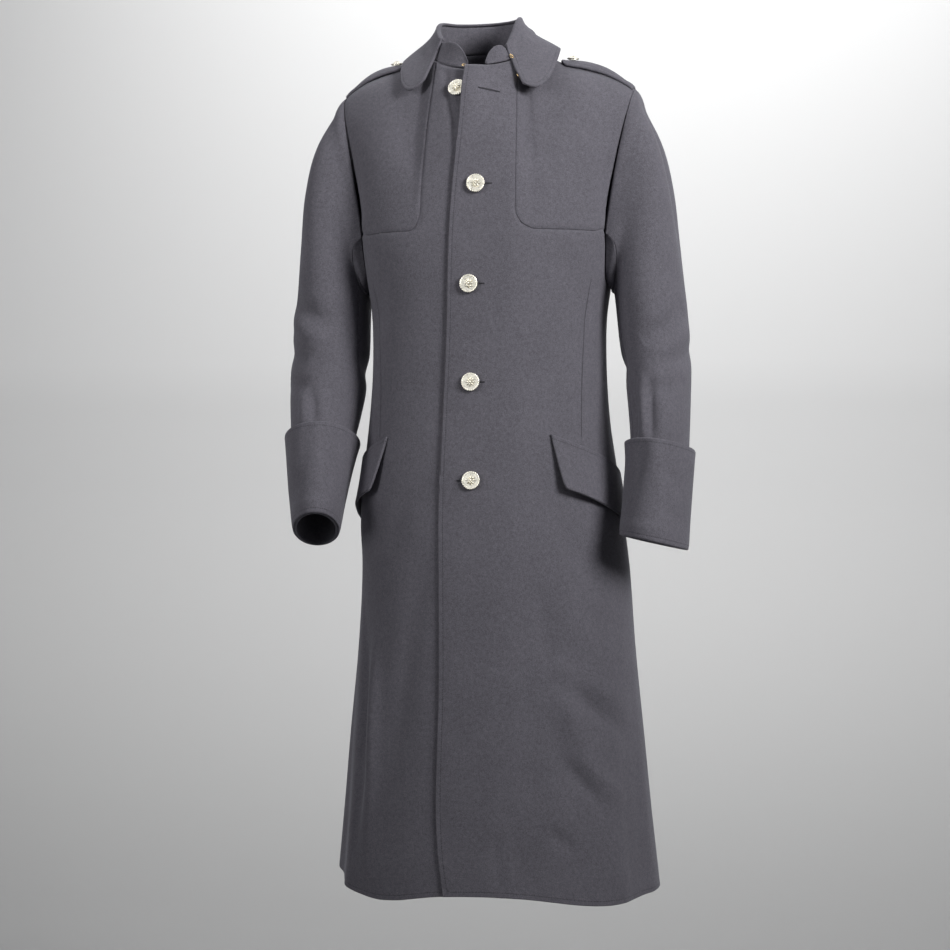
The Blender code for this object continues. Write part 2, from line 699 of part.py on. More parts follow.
def collar_point(point):
    """A table's row as a point round the neck."""
    angle = radians(point.angle)
    return Vector((NECK_X + point.radius * sin(angle), NECK_Y + point.radius * cos(angle), point.height))


def stand_section(strip, angle):
    """Outer and inner points of the stand, from the neckline to its top, at an angle round the neck."""
    base = stand_base(strip, angle)
    top = collar_point(row_at(STAND_TOP, angle))
    outward = Vector((sin(radians(angle)), cos(radians(angle)), 0))
    rise = (top - base).normalized()
    aside = (outward - rise * outward.dot(rise)).normalized()
    outer = [base.lerp(top, row / STAND_ROWS) for row in range(STAND_ROWS + 1)]
    return outer, [point - aside * CLOTH for point in outer], aside, rise


def make_collar_stand(strip, material):
    start, end = STAND_TOP[0].angle, STAND_TOP[-1].angle
    count = 36
    outer, inner = {}, {}
    for column in range(count):
        angle = start + (end - start) * column / (count - 1)
        faces = stand_section(strip, angle)
        for row in range(STAND_ROWS + 1):
            outer[(column, row)] = faces[0][row]
            inner[(column, row)] = faces[1][row]
    cells = [tuple(reversed(cell)) for cell in grid_cells(count, STAND_ROWS + 1)]
    wall_object("collar_stand", cells, outer, inner, material)


def make_collar_fall(strip, material):
    """The fall rolls over the stand's top and lies on the shoulders, ending in two rounded leaves."""
    ground = strip.tree([name for name in strip.cells if not name.startswith("sleeve")])
    count = 37
    outer, inner = {}, {}
    for column in range(count):
        share = column / (count - 1)
        edge_angle = LEAF_EDGE[0].angle + (LEAF_EDGE[-1].angle - LEAF_EDGE[0].angle) * share
        fold_angle = LEAF_FOLD_ANGLES[0] + (LEAF_FOLD_ANGLES[1] - LEAF_FOLD_ANGLES[0]) * share
        faces, lining, aside, rise = stand_section(strip, fold_angle)
        edge = clear_of(ground, collar_point(row_at(LEAF_EDGE, edge_angle)), FALL_CLEAR)
        top = faces[-1] + rise * LAID_GAP
        crest = top + rise * (DOUBLE_CLOTH + 0.0008) - aside * (CLOTH * 0.4)
        shoulder = top + aside * (DOUBLE_CLOTH + 0.0012)
        outer[(column, 0)] = top - aside * CLOTH
        inner[(column, 0)] = top
        outer[(column, 1)] = crest
        inner[(column, 1)] = top + rise * 0.0006 + aside * 0.0002
        outer[(column, 2)] = shoulder
        inner[(column, 2)] = top + aside * 0.0010 - rise * 0.0008
        reach = (edge - shoulder).length
        leave = (aside * 0.35 - rise * 0.9).normalized() * reach
        arrive = (edge - shoulder).normalized() * reach
        for row in range(1, FALL_ROWS + 1):
            point = hermite(shoulder, leave, edge, arrive, row / FALL_ROWS)
            outer[(column, 2 + row)] = clear_of(ground, point, FALL_CLEAR)
    rows = FALL_ROWS + 3
    cells = [tuple(reversed(cell)) for cell in grid_cells(count, rows)]
    directions = directions_of(cells, outer)
    for key, point in outer.items():
        if key not in inner:
            inner[key] = point - directions[key] * DOUBLE_CLOTH
    wall_object("collar_fall", cells, outer, inner, material)


def clear_of(ground, point, distance):
    """The point, moved out where it is nearer to the cloth below it than a distance."""
    place, normal, _, _ = ground.find_nearest(point)
    height = (point - place).dot(normal)
    return point + normal * (distance - height) if height < distance else point


def make_strap(strip, side, material):
    ground = strip.tree([name for name in strip.cells if not name.startswith("sleeve")])
    points = {}
    lengths, widths = 9, 5
    for step in range(lengths):
        share = step / (lengths - 1)
        along = STRAP_LENGTH_SHARE[0] + (STRAP_LENGTH_SHARE[1] - STRAP_LENGTH_SHARE[0]) * share
        ridge = shoulder_seam(side, along)
        half_width = STRAP_HALF_WIDTH * (1.0 if step else 0.55)
        bow = STRAP_BOW * sin(pi * min(1.0, share * 1.15)) if share < 1 else 0.0
        for place in range(widths):
            aside = half_width * (2 * place / (widths - 1) - 1)
            nose = 0.008 * (1 - abs(2 * place / (widths - 1) - 1)) * (step == 0)
            start = Vector((ridge.x - side * nose, ridge.y + aside, 0.2))
            hit = ground.ray_cast(start, Vector((0, 0, -1)))[0]
            points[(step, place)] = hit + Vector((0, 0, 3 * LAID_GAP + DOUBLE_CLOTH + bow))
    if side == RIGHT:
        points = {(step, widths - 1 - place): point for (step, place), point in points.items()}
    laid_piece("shoulder_strap_" + SIDE_NAME[side], points, lengths, widths, DOUBLE_CLOTH, material)


def walk(turn, height, along, down):
    """The turn and height after a way along and down the coat's face."""
    steps = 24
    for _ in range(steps):
        height -= down / steps
        slope = (torso(turn + 0.5, height) - torso(turn - 0.5, height)).length
        turn += along / steps / slope
    return turn, height


def make_flap(side, material):
    start = FLAPS[side]
    columns, rows = 12, 4
    points = {}
    for column in range(columns):
        for row in range(rows):
            across = FLAP_LENGTH * column / (columns - 1)
            below = FLAP_DEPTH * row / (rows - 1)
            slant, lean = radians(FLAP_SLANT), radians(start.edge_lean)
            along = across * cos(slant) + below * sin(lean) * (1 - column / (columns - 1))
            down = across * sin(slant) + below * cos(lean)
            turn, height = walk(start.turn, start.height, side * along, down)
            stand = FLAP_STAND * (1 - 0.8 * ease(2.2 * column / (columns - 1) - 0.3))
            outset = FLAP_GAP + DOUBLE_CLOTH + stand * (row / (rows - 1)) ** 1.3
            points[(column, rows - 1 - row)] = torso(turn, height) + facing(turn, height) * outset
    if side == RIGHT:
        points = {(columns - 1 - column, row): point for (column, row), point in points.items()}
    laid_piece("pocket_flap_" + SIDE_NAME[side], points, columns, rows, DOUBLE_CLOTH, material)


def make_button(name, radius, place, outward, material):
    """A domed metal button turned from a profile, standing on a low shank."""
    profile = ((0.0, 0.56), (0.34, 0.53), (0.70, 0.42), (0.90, 0.30), (1.0, 0.17), (0.96, 0.08),
               (0.46, 0.05), (0.22, 0.0), (0.0, 0.0))
    mesh = bpy.data.meshes.new(name)
    corners = [(radius * across, 0, radius * height) for across, height in profile]
    mesh.from_pydata(corners, [(i, i + 1) for i in range(len(corners) - 1)], [])
    mesh.materials.append(material)
    item = bpy.data.objects.new(name, mesh)
    coat_parts.objects.link(item)
    turn = item.modifiers.new("turned", "SCREW")
    turn.steps = 16
    turn.render_steps = 16
    turn.use_merge_vertices = True
    turn.merge_threshold = 0.00005
    turn.use_smooth_shade = True
    spin = outward.to_track_quat("Z", "Y").to_matrix().to_4x4()
    item.matrix_world = Matrix.Translation(place + outward * LAID_GAP) @ spin


def make_buttons(strip, material):
    for button in BUTTONS:
        ground = strip.tree([button.panel])
        hit, normal, _, _ = ground.ray_cast(Vector((button.x, -1, button.height)), Vector((0, 1, 0)))
        if normal.y > 0:
            normal = -normal
        make_button(button.name, BUTTON_RADIUS, hit, normal, material)


def make_strap_buttons(strip, material):
    for side in (LEFT, RIGHT):
        strap = bpy.data.objects["shoulder_strap_" + SIDE_NAME[side]]
        tree = BVHTree.FromPolygons([vertex.co for vertex in strap.data.vertices],
                                    [tuple(polygon.vertices) for polygon in strap.data.polygons])
        ridge = shoulder_seam(side, STRAP_LENGTH_SHARE[0] + 0.11)
        hit, normal, _, _ = tree.ray_cast(Vector((ridge.x, ridge.y, 0.2)), Vector((0, 0, -1)))
        make_button("strap_button_" + SIDE_NAME[side], STRAP_BUTTON_RADIUS, hit, normal, material)


def make_coat():
    wool = make_material("wool", (0.105, 0.100, 0.118), 0.95, 0.0)
    silver = make_material("silver", (0.78, 0.76, 0.72), 0.2, 1.0)
    strip = Strip()
    for name in strip.cells:
        points = None
        if name.startswith("sleeve"):
            side = LEFT if "left" in name else RIGHT
            aside = Vector((side * SEAM_GAP, 0, 0))
            points = {**strip.points, **{key: strip.points[key] + aside for key in strip.armhole_keys[side]}}
        sewn_piece(strip, name, wool, points)
    for side in (LEFT, RIGHT):
        make_cuff(strip, side, wool)
        make_strap(strip, side, wool)
        make_flap(side, wool)
    make_collar_stand(strip, wool)
    make_collar_fall(strip, wool)
    make_buttons(strip, silver)
    make_strap_buttons(strip, silver)


clear_scene()
coat_parts = bpy.data.collections.new("military_greatcoat")
bpy.context.scene.collection.children.link(coat_parts)
make_coat()
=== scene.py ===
"""Military greatcoat of grey melton wool, single breasted, with five domed metal buttons.

Metres, +Z up, the front faces -Y, the wearer's left is +X. The origin is the middle of the neck opening.
Turns round the body are in degrees: 0 at the centre front, 90 at the wearer's left side, 180 behind.
"""
import bpy
import bmesh
import numpy as np
from collections import namedtuple
from math import asin, ceil, copysign, cos, degrees, exp, pi, radians, sin, sqrt
from mathutils import Matrix, Vector
from mathutils.bvhtree import BVHTree


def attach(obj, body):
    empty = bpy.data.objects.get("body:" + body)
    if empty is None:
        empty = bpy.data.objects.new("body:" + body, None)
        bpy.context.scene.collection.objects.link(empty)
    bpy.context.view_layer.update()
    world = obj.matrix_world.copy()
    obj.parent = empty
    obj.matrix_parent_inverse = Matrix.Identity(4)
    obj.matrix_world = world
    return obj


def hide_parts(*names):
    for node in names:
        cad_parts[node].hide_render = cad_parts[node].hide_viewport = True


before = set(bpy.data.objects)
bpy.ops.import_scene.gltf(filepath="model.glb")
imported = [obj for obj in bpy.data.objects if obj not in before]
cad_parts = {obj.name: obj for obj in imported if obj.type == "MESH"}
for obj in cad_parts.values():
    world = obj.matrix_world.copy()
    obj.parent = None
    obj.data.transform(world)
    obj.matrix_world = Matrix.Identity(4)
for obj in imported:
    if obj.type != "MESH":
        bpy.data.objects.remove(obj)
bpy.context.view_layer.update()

CLOTH = 0.0026              # melton wool, one layer
DOUBLE_CLOTH = 0.0036       # collar, cuffs, flaps and straps are two layers pressed together
SEAM_GAP = 0.0003
LAID_GAP = 0.0007           # between a panel and what is laid on it
NOTCH_HEIGHT = -0.268       # the yoke's lower seam, which meets the armhole
UNDERARM_DROP = 0.068
HEM_HEIGHT = -1.196
LOW_ROWS = 17               # from the hem to the notch
HIGH_ROWS = 6               # from the notch to the shoulder and the neck
FRONT_LAP_LIFT = 0.0040     # the left front rides over the right one
LAP_LIFT_FULL, LAP_LIFT_END = 0.050, 0.095
TOP_LIFT = 0.0095           # its open top stands out further, over the top button's rim
TOP_LIFT_HEIGHT, TOP_LIFT_SPREAD = -0.060, 0.045
TOP_LIFT_FULL, TOP_LIFT_END = -0.015, 0.030

LEFT, RIGHT = 1, -1
SIDE_NAME = {LEFT: "left", RIGHT: "right"}

Ring = namedtuple("Ring", "height across front back square sway")
TORSO = (
    Ring(-0.180, 0.1900, 0.1300, 0.1310, 2.50, 0.000),
    Ring(-0.268, 0.1870, 0.1360, 0.1300, 2.60, 0.000),
    Ring(-0.310, 0.1800, 0.1355, 0.1260, 2.55, 0.000),
    Ring(-0.370, 0.1705, 0.1330, 0.1170, 2.45, 0.000),
    Ring(-0.457, 0.1695, 0.1310, 0.1090, 2.35, 0.000),
    Ring(-0.545, 0.1760, 0.1340, 0.1130, 2.30, 0.000),
    Ring(-0.603, 0.1840, 0.1390, 0.1220, 2.25, 0.001),
    Ring(-0.670, 0.1910, 0.1440, 0.1320, 2.20, 0.003),
    Ring(-0.750, 0.1945, 0.1480, 0.1400, 2.20, 0.009),
    Ring(-0.864, 0.2012, 0.1540, 0.1500, 2.20, 0.009),
    Ring(-0.980, 0.2110, 0.1610, 0.1610, 2.20, 0.008),
    Ring(-1.097, 0.2200, 0.1680, 0.1720, 2.20, 0.008),
    Ring(-1.220, 0.2320, 0.1750, 0.1840, 2.20, 0.009),
)

Fold = namedtuple("Fold", "turn depth width top lean")
SKIRT_FOLDS = (
    Fold(-58, 0.0050, 9, -0.70, 0),
    Fold(-74, -0.0085, 9, -0.72, 4),
    Fold(-97, 0.0105, 12, -0.76, -8),
    Fold(-131, 0.0110, 11, -0.72, 6),
    Fold(-152, -0.0070, 10, -0.70, 0),
    Fold(46, 0.0045, 12, -0.84, 10),
    Fold(70, -0.0060, 11, -0.86, 6),
    Fold(94, 0.0085, 12, -0.74, -6),
    Fold(128, 0.0120, 12, -0.72, -8),
    Fold(154, -0.0075, 11, -0.72, 0),
)

HemPoint = namedtuple("HemPoint", "turn lift")
HEM = (
    HemPoint(-180, 0.002),
    HemPoint(-90, 0.014),
    HemPoint(-60, 0.002),
    HemPoint(-35, -0.008),
    HemPoint(-10, 0.004),
    HemPoint(10, 0.005),
    HemPoint(45, -0.010),
    HemPoint(90, -0.006),
    HemPoint(180, 0.002),
)

EdgePoint = namedtuple("EdgePoint", "height x")
LEFT_FRONT_EDGE = (
    EdgePoint(-0.036, -0.0200),
    EdgePoint(-0.066, -0.0226),
    EdgePoint(-0.150, -0.0275),
    EdgePoint(-0.268, -0.0360),
    EdgePoint(-0.400, -0.0400),
    EdgePoint(-0.545, -0.0460),
    EdgePoint(-0.660, -0.0490),
    EdgePoint(-0.900, -0.0462),
    EdgePoint(-1.100, -0.0475),
    EdgePoint(-1.210, -0.0340),
)
RIGHT_FRONT_EDGE = (
    EdgePoint(-0.036, 0.0030),
    EdgePoint(-0.130, 0.0200),
    EdgePoint(-0.268, 0.0330),
    EdgePoint(-0.660, 0.0330),
    EdgePoint(-1.210, 0.0330),
)

NECK_X, NECK_Y = -0.009, -0.022
NECK_HALF_WIDTH, NECK_BACK, NECK_FRONT = 0.080, 0.074, 0.068
NECK_BACK_HEIGHT, NECK_SIDE_HEIGHT, NECK_FRONT_HEIGHT = 0.010, 0.001, -0.036
NECK_SIDE_ANGLE = 93
SHOULDER_TIP = Vector((0.213, 0.004, -0.055))
SHOULDER_WAVE = 0.004

# Columns of the strip of cloth round the body, from the centre front to the centre back. The angle is
# where the column ends on the neckline, and the share is how far along the shoulder seam it ends.
Column = namedtuple("Column", "turn angle share")
Place = namedtuple("Place", "turn_of top pull angle")
FRONT_NECK = {
    LEFT: (Column(2.6, 162, None), Column(7.4, 146, None), Column(12.3, 130, None),
           Column(18.5, 112, None)),
    RIGHT: (Column(5.5, 160, None), Column(12, 147, None), Column(18.6, 134, None),
            Column(22.5, 113, None)),
}
SHOULDER = {
    LEFT: (Column(25.5, None, 0.0), Column(36, None, 0.27), Column(46.5, None, 0.52),
           Column(57, None, 0.77), Column(67, None, 1.0)),
    RIGHT: (Column(28, None, 0.0), Column(37, None, 0.27), Column(46.5, None, 0.52),
            Column(57, None, 0.77), Column(67, None, 1.0)),
}
SIDE_TURNS = (76, 85, 95, 104)
SIDE_SEAM_TURN = 95
BACK_SHOULDER_TURNS = (113, 123, 134, 145, 155)
BACK_NECK = (Column(163.5, 62, None), Column(172, 31, None))
NECK_PULL_FRONT, NECK_PULL_BACK = Vector((0, 0.132, 0.199)), Vector((0, -0.132, 0.199))
SHOULDER_PULL_FRONT, SHOULDER_PULL_BACK = Vector((0, 0.25, 0.03)), Vector((0, -0.25, -0.03))

SleeveRing = namedtuple("SleeveRing", "height x y half_width half_depth lean roll yaw")
SLEEVE = {
    LEFT: (
        SleeveRing(-0.350, 0.2330, 0.0036, 0.0505, 0.0794, 0, 0, 0),
        SleeveRing(-0.430, 0.2410, 0.000, 0.0505, 0.078, 5, 2, 0),
        SleeveRing(-0.490, 0.2465, -0.014, 0.0460, 0.076, 9, 4, 0),
        SleeveRing(-0.585, 0.2505, -0.040, 0.0410, 0.070, 9, 7, 0),
        SleeveRing(-0.645, 0.2485, -0.060, 0.0430, 0.066, 7, 10, 0),
        SleeveRing(-0.705, 0.2455, -0.078, 0.0455, 0.064, 4, 12, 0),
    ),
    RIGHT: (
        SleeveRing(-0.350, 0.2325, 0.0036, 0.0520, 0.0808, 0, 0, 0),
        SleeveRing(-0.430, 0.2355, -0.004, 0.0560, 0.076, 8, 0, 2),
        SleeveRing(-0.490, 0.2365, -0.020, 0.0545, 0.073, 15, 0, 5),
        SleeveRing(-0.577, 0.2385, -0.052, 0.0430, 0.072, 21, 0, 9),
        SleeveRing(-0.635, 0.2380, -0.075, 0.0365, 0.070, 21, 0, 11),
        SleeveRing(-0.688, 0.2355, -0.096, 0.0300, 0.068, 21, 0, 12),
    ),
}
SEAM_TWIST = 38             # how far the sleeve's two seams turn in under the arm, in degrees
NOTCH_ANGLE = 112           # round the sleeve, from its outer edge to the armhole's front notch
CAP_LEAVE = {LEFT: 0.26, RIGHT: 0.40}       # how far outward the sleeve's head leaves the shoulder
CAP_ROWS = 4
ARM_ROWS = 10
CUFF_SHARE = 0.623          # of the way from the biceps to the sleeve's end, where the cuff starts
CUFF_STAND = 0.0045         # the cuff's upper edge stands off the sleeve

StandPoint = namedtuple("StandPoint", "angle radius height")
STAND_TOP = (
    StandPoint(-174, 0.0690, -0.026),
    StandPoint(-168, 0.0690, -0.010),
    StandPoint(-158, 0.0690, 0.002),
    StandPoint(-147, 0.0670, 0.006),
    StandPoint(-128, 0.0625, 0.009),
    StandPoint(-105, 0.0620, 0.024),
    StandPoint(-80, 0.0635, 0.041),
    StandPoint(-40, 0.0670, 0.047),
    StandPoint(0, 0.0680, 0.050),
    StandPoint(40, 0.0620, 0.049),
    StandPoint(80, 0.0560, 0.046),
    StandPoint(105, 0.0560, 0.034),
    StandPoint(125, 0.0590, 0.010),
    StandPoint(138, 0.0650, -0.004),
    StandPoint(146, 0.0690, -0.001),
    StandPoint(155, 0.0700, -0.004),
    StandPoint(162, 0.0700, -0.013),
    StandPoint(167, 0.0695, -0.028),
)
STAND_RISE = 0.0014         # the stand starts just above the neckline
LeafPoint = namedtuple("LeafPoint", "angle radius height")
LEAF_EDGE = (
    LeafPoint(-137, 0.1010, -0.048),
    LeafPoint(-134.5, 0.1130, -0.064),
    LeafPoint(-130, 0.1170, -0.066),
    LeafPoint(-122, 0.1210, -0.060),
    LeafPoint(-112, 0.1200, -0.042),
    LeafPoint(-100, 0.1165, -0.020),
    LeafPoint(-88, 0.1130, -0.006),
    LeafPoint(-72, 0.1100, 0.000),
    LeafPoint(-45, 0.1110, -0.006),
    LeafPoint(0, 0.1180, -0.014),
    LeafPoint(45, 0.1160, -0.006),
    LeafPoint(72, 0.1150, 0.002),
    LeafPoint(86, 0.1160, 0.004),
    LeafPoint(98, 0.1180, -0.008),
    LeafPoint(110, 0.1210, -0.030),
    LeafPoint(120, 0.1260, -0.050),
    LeafPoint(129, 0.1265, -0.065),
    LeafPoint(135.5, 0.1245, -0.069),
    LeafPoint(139.5, 0.1120, -0.060),
)
LEAF_FOLD_ANGLES = (-127, 138)      # where the fold line ends on each side
FALL_CLEAR = 0.0052         # the fall's outer face above the cloth it lies on

STRAP_LENGTH_SHARE = (0.26, 0.985)
STRAP_HALF_WIDTH = 0.021
STRAP_BOW = 0.007

Flap = namedtuple("Flap", "turn height edge_lean")
FLAPS = {LEFT: Flap(33.0, -0.553, 8.0), RIGHT: Flap(-44.0, -0.556, 11.0)}
FLAP_LENGTH, FLAP_DEPTH = 0.172, 0.077
FLAP_SLANT = 19
FLAP_STAND = 0.011

BUTTON_RADIUS = 0.0131
STRAP_BUTTON_RADIUS = 0.0085
ButtonPlace = namedtuple("ButtonPlace", "name x height panel")
BUTTONS = (
    ButtonPlace("button_1", -0.0290, -0.0660, "front_right"),
    ButtonPlace("button_2", 0.0030, -0.2044, "front_left"),
    ButtonPlace("button_3", -0.0065, -0.3435, "front_left"),
    ButtonPlace("button_4", -0.0045, -0.4805, "front_left"),
    ButtonPlace("button_5", -0.0024, -0.6178, "front_left"),
)

BODY_STEP = 0.0050          # between samples of the dense cloth
SLEEVE_STEP = 0.0048
SEAM_SAMPLES = (0.0012, 0.0030)
UNDERARM_FULLNESS = 0.004   # fills the hollow of the cloth below the armhole's notches
YOKE_CORNER = 0.028         # radius of the yoke's lower inner corner
CORNER_CUT = 0.293          # how much of that radius a square corner loses
ROW_HEIGHT, COLUMN_WIDTH = 0.0546, 0.027    # the net's usual cell, for the stitches along the hem
UNDERARM_ROW = 0.050        # the height of a row of the net beside the armhole's floor
OVERLAP_X = -0.0225         # places seen from ahead are on the left front when they lie beyond this
NO_EDGE = 1.0               # a distance that means that no edge or seam is near
FREE_ROLL = 0.0009          # how far a free edge rolls in
FALL_ROLL, FLAP_ROLL, STAND_ROLL = 0.0010, 0.0008, 0.0006
FREE_ROLL_REACH = 0.004

Crease = namedtuple("Crease", "depth width lean line")
BODY_CREASES = (
    Crease(-0.0060, 0.016, 1.0, ((-58, -0.78), (-55, -0.95), (-53, -1.17))),
    Crease(0.0053, 0.018, 0.8, ((-49, -0.86), (-47, -1.00), (-45, -1.19))),
    Crease(-0.0045, 0.020, 1.0, ((29, -0.80), (42, -0.90), (56, -0.98))),
    Crease(-0.0048, 0.020, 1.0, ((24, -0.92), (33, -1.02), (44, -1.10))),
    Crease(0.0033, 0.016, 1.0, ((27, -0.86), (38, -0.96), (50, -1.04))),
    Crease(-0.0036, 0.018, 1.2, ((10, -1.06), (12, -1.12), (14, -1.19))),
    Crease(-0.0030, 0.018, 1.0, ((-20, -0.70), (-28, -0.86), (-33, -1.05))),
    Crease(-0.0033, 0.022, 1.0, ((30, -0.62), (38, -0.70), (52, -0.75))),
    Crease(-0.0027, 0.016, 1.0, ((-14, -0.62), (-30, -0.65), (-46, -0.72))),
    Crease(-0.0060, 0.022, 0.9, ((118, -0.70), (114, -0.92), (111, -1.18))),
    Crease(-0.0067, 0.024, 0.9, ((-118, -0.72), (-114, -0.95), (-112, -1.18))),
    Crease(-0.0033, 0.024, 1.0, ((162, -0.44), (138, -0.47), (112, -0.50))),
    Crease(-0.0030, 0.022, 1.0, ((-160, -0.45), (-136, -0.49), (-114, -0.51))),
    Crease(-0.0024, 0.018, 1.0, ((40, -0.30), (52, -0.37), (66, -0.42))),
    Crease(-0.0027, 0.018, 1.0, ((-38, -0.30), (-52, -0.36), (-66, -0.42))),
)
SLEEVE_CREASES = {
    LEFT: (
        Crease(-0.0058, 0.014, 1.0, ((20, 0.05), (62, 0.16), (105, 0.22))),
        Crease(-0.0051, 0.013, 1.0, ((-25, 0.20), (30, 0.27), (80, 0.34))),
        Crease(0.0041, 0.013, 1.0, ((5, 0.13), (50, 0.22), (95, 0.29))),
        Crease(-0.0051, 0.012, 1.0, ((30, 0.36), (75, 0.42), (118, 0.44))),
        Crease(-0.0056, 0.0078, 1.3, ((96, 0.34), (98, 0.50), (99, 0.645))),
        Crease(0.0044, 0.0075, 1.2, ((113, 0.36), (113, 0.52), (114, 0.645))),
        Crease(-0.0052, 0.0095, 1.2, ((132, 0.38), (138, 0.53), (140, 0.645))),
        Crease(0.0030, 0.0100, 1.0, ((62, 0.42), (66, 0.53), (70, 0.64))),
        Crease(-0.0054, 0.016, 1.0, ((140, 0.28), (180, 0.33), (225, 0.30))),
        Crease(-0.0051, 0.015, 1.0, ((200, 0.42), (250, 0.46), (300, 0.42))),
    ),
    RIGHT: (
        Crease(-0.0061, 0.015, 1.0, ((30, 0.02), (75, 0.10), (118, 0.16))),
        Crease(0.0044, 0.014, 1.0, ((15, 0.07), (60, 0.17), (100, 0.24))),
        Crease(-0.0051, 0.014, 1.0, ((-10, 0.22), (45, 0.30), (95, 0.33))),
        Crease(-0.0048, 0.012, 1.0, ((10, 0.38), (60, 0.44), (105, 0.44))),
        Crease(-0.0046, 0.0085, 1.2, ((76, 0.44), (80, 0.55), (82, 0.645))),
        Crease(0.0034, 0.0085, 1.2, ((58, 0.44), (60, 0.55), (60, 0.645))),
        Crease(-0.0054, 0.016, 1.0, ((140, 0.26), (185, 0.32), (230, 0.30))),
        Crease(-0.0051, 0.015, 1.0, ((210, 0.40), (255, 0.45), (305, 0.43))),
    ),
}
Dent = namedtuple("Dent", "angle rise depth wide tall slant")
CUFF_DENTS = {
    LEFT: (
        Dent(118, 0.70, -0.0030, 13, 0.34, -25),
        Dent(88, 0.80, 0.0020, 14, 0.25, 20),
        Dent(58, 0.62, -0.0022, 16, 0.16, 90),
        Dent(52, 0.30, -0.0022, 24, 0.10, 60),
        Dent(20, 0.86, 0.0026, 14, 0.14, 0),
        Dent(96, 0.12, 0.0018, 60, 0.05, 0),
        Dent(230, 0.55, -0.0024, 22, 0.30, 30),
    ),
    RIGHT: (
        Dent(70, 0.72, -0.0024, 14, 0.30, 25),
        Dent(100, 0.50, 0.0018, 16, 0.28, -20),
        Dent(48, 0.34, -0.0020, 20, 0.12, 60),
        Dent(90, 0.12, 0.0016, 60, 0.05, 0),
        Dent(225, 0.50, -0.0024, 22, 0.30, -30),
    ),
}
FRONT_CREASES = (
    Crease(-0.0048, 0.0052, 0.7, ((-0.050, -0.034), (-0.043, -0.075), (-0.0330, -0.112), (-0.0290, -0.150))),
    Crease(-0.0030, 0.020, 1.0, ((0.120, -0.060), (0.098, -0.110), (0.075, -0.180))),
    Crease(-0.0035, 0.014, 1.0, ((0.196, -0.090), (0.180, -0.170), (0.176, -0.250))),
    Crease(-0.0035, 0.014, 1.0, ((-0.196, -0.095), (-0.182, -0.170), (-0.176, -0.250))),
    Crease(-0.0025, 0.018, 1.0, ((-0.110, -0.070), (-0.105, -0.130), (-0.085, -0.190))),
    Crease(-0.0020, 0.012, 1.0, ((0.028, -0.090), (0.010, -0.120), (-0.012, -0.160))),
    Crease(0.0018, 0.016, 1.0, ((0.060, -0.080), (0.054, -0.160), (0.050, -0.230))),
    Crease(-0.0050, 0.013, 1.0, ((0.112, -0.895), (0.160, -0.932), (0.212, -0.985))),
    Crease(0.0034, 0.014, 1.0, ((0.112, -0.868), (0.160, -0.900), (0.210, -0.948))),
    Crease(-0.0048, 0.011, 1.0, ((0.124, -1.000), (0.155, -1.042), (0.188, -1.085))),
    Crease(0.0034, 0.012, 1.0, ((0.142, -0.992), (0.175, -1.032), (0.205, -1.070))),
    Crease(-0.0036, 0.010, 1.0, ((0.108, -1.098), (0.126, -1.118), (0.146, -1.134))),
    Crease(-0.0034, 0.012, 1.0, ((0.036, -1.100), (0.040, -1.145), (0.046, -1.190))),
    Crease(-0.0032, 0.014, 1.0, ((0.088, -0.760), (0.104, -0.850), (0.118, -0.930))),
    Crease(-0.0044, 0.010, 1.0, ((-0.172, -0.780), (-0.167, -0.940), (-0.164, -1.040), (-0.176, -1.125))),
    Crease(0.0036, 0.011, 1.0, ((-0.150, -0.820), (-0.148, -0.950), (-0.150, -1.090))),
)
DartPoint = namedtuple("DartPoint", "turn height")
DARTS = (DartPoint(60.5, -0.337), DartPoint(57.0, -0.445), DartPoint(52.6, -0.556))

# The pressed lines of the seams
Groove = namedtuple("Groove", "depth width")
SIDE_SEAM = Groove(0.0011, 0.0022)
CENTRE_SEAM = Groove(0.0010, 0.0022)
YOKE_SEAM = Groove(0.0012, 0.0020)
ARMHOLE_SEAM = Groove(0.0024, 0.0042)
UNDERARM_SEAM = Groove(0.0024, 0.0040)
DART_SEAM = Groove(0.0007, 0.0036)
HEAD_SEAM = Groove(0.0016, 0.0035)
SLEEVE_SEAM = Groove(0.0010, 0.0022)
HEAD_FULLNESS, HEAD_PLACE, HEAD_SPREAD = 0.0032, 0.014, 0.011       # the ease sewn in at the sleeve's head
HEAD_COLUMNS = 5.5
SEAM_HIDDEN, SEAM_SHOWN = 0.050, 0.060      # the sleeve's seams are pressed flat near the armhole

BUTTON_LIFT = 0.0002
BUTTONHOLE_HALF = 0.0135
TOP_HOLE_SLOPE, TOP_HOLE_DROP = 0.20, 0.0040
HOLE_SHIFTS = (0.0465, 0.0080, 0.0070, 0.0050, -0.0060)     # from each button's middle to its hole's
STITCH_THICK = 0.0070       # the stitches round a buttonhole, across and up
STITCH_HIGH = 0.0060
TARNISH_INNER, TARNISH_OUTER, TARNISH_LOW = 0.20, 0.83, 0.3     # the button's dull ground, in its radii
TARNISH_SHADE = 0.42

# Where each wire fastening lies on the neck, seen from ahead
HookPlace = namedtuple("HookPlace", "name x z spin eye")
HOOKS = (
    HookPlace("collar_hook_right", -0.0235, -0.0335, 80, False),
    HookPlace("collar_hook_left", 0.0150, -0.0440, 10, False),
    HookPlace("collar_eye_upper", 0.0405, -0.0125, 20, True),
    HookPlace("collar_eye_lower", 0.0570, -0.0480, 60, True),
)
HOOK_FRONT = -0.096         # the neck is looked for from here
HOOK_LIFT = 0.0012
HOOK_RADIUS, EYE_RADIUS, WIRE_RADIUS = 0.0022, 0.0025, 0.00055

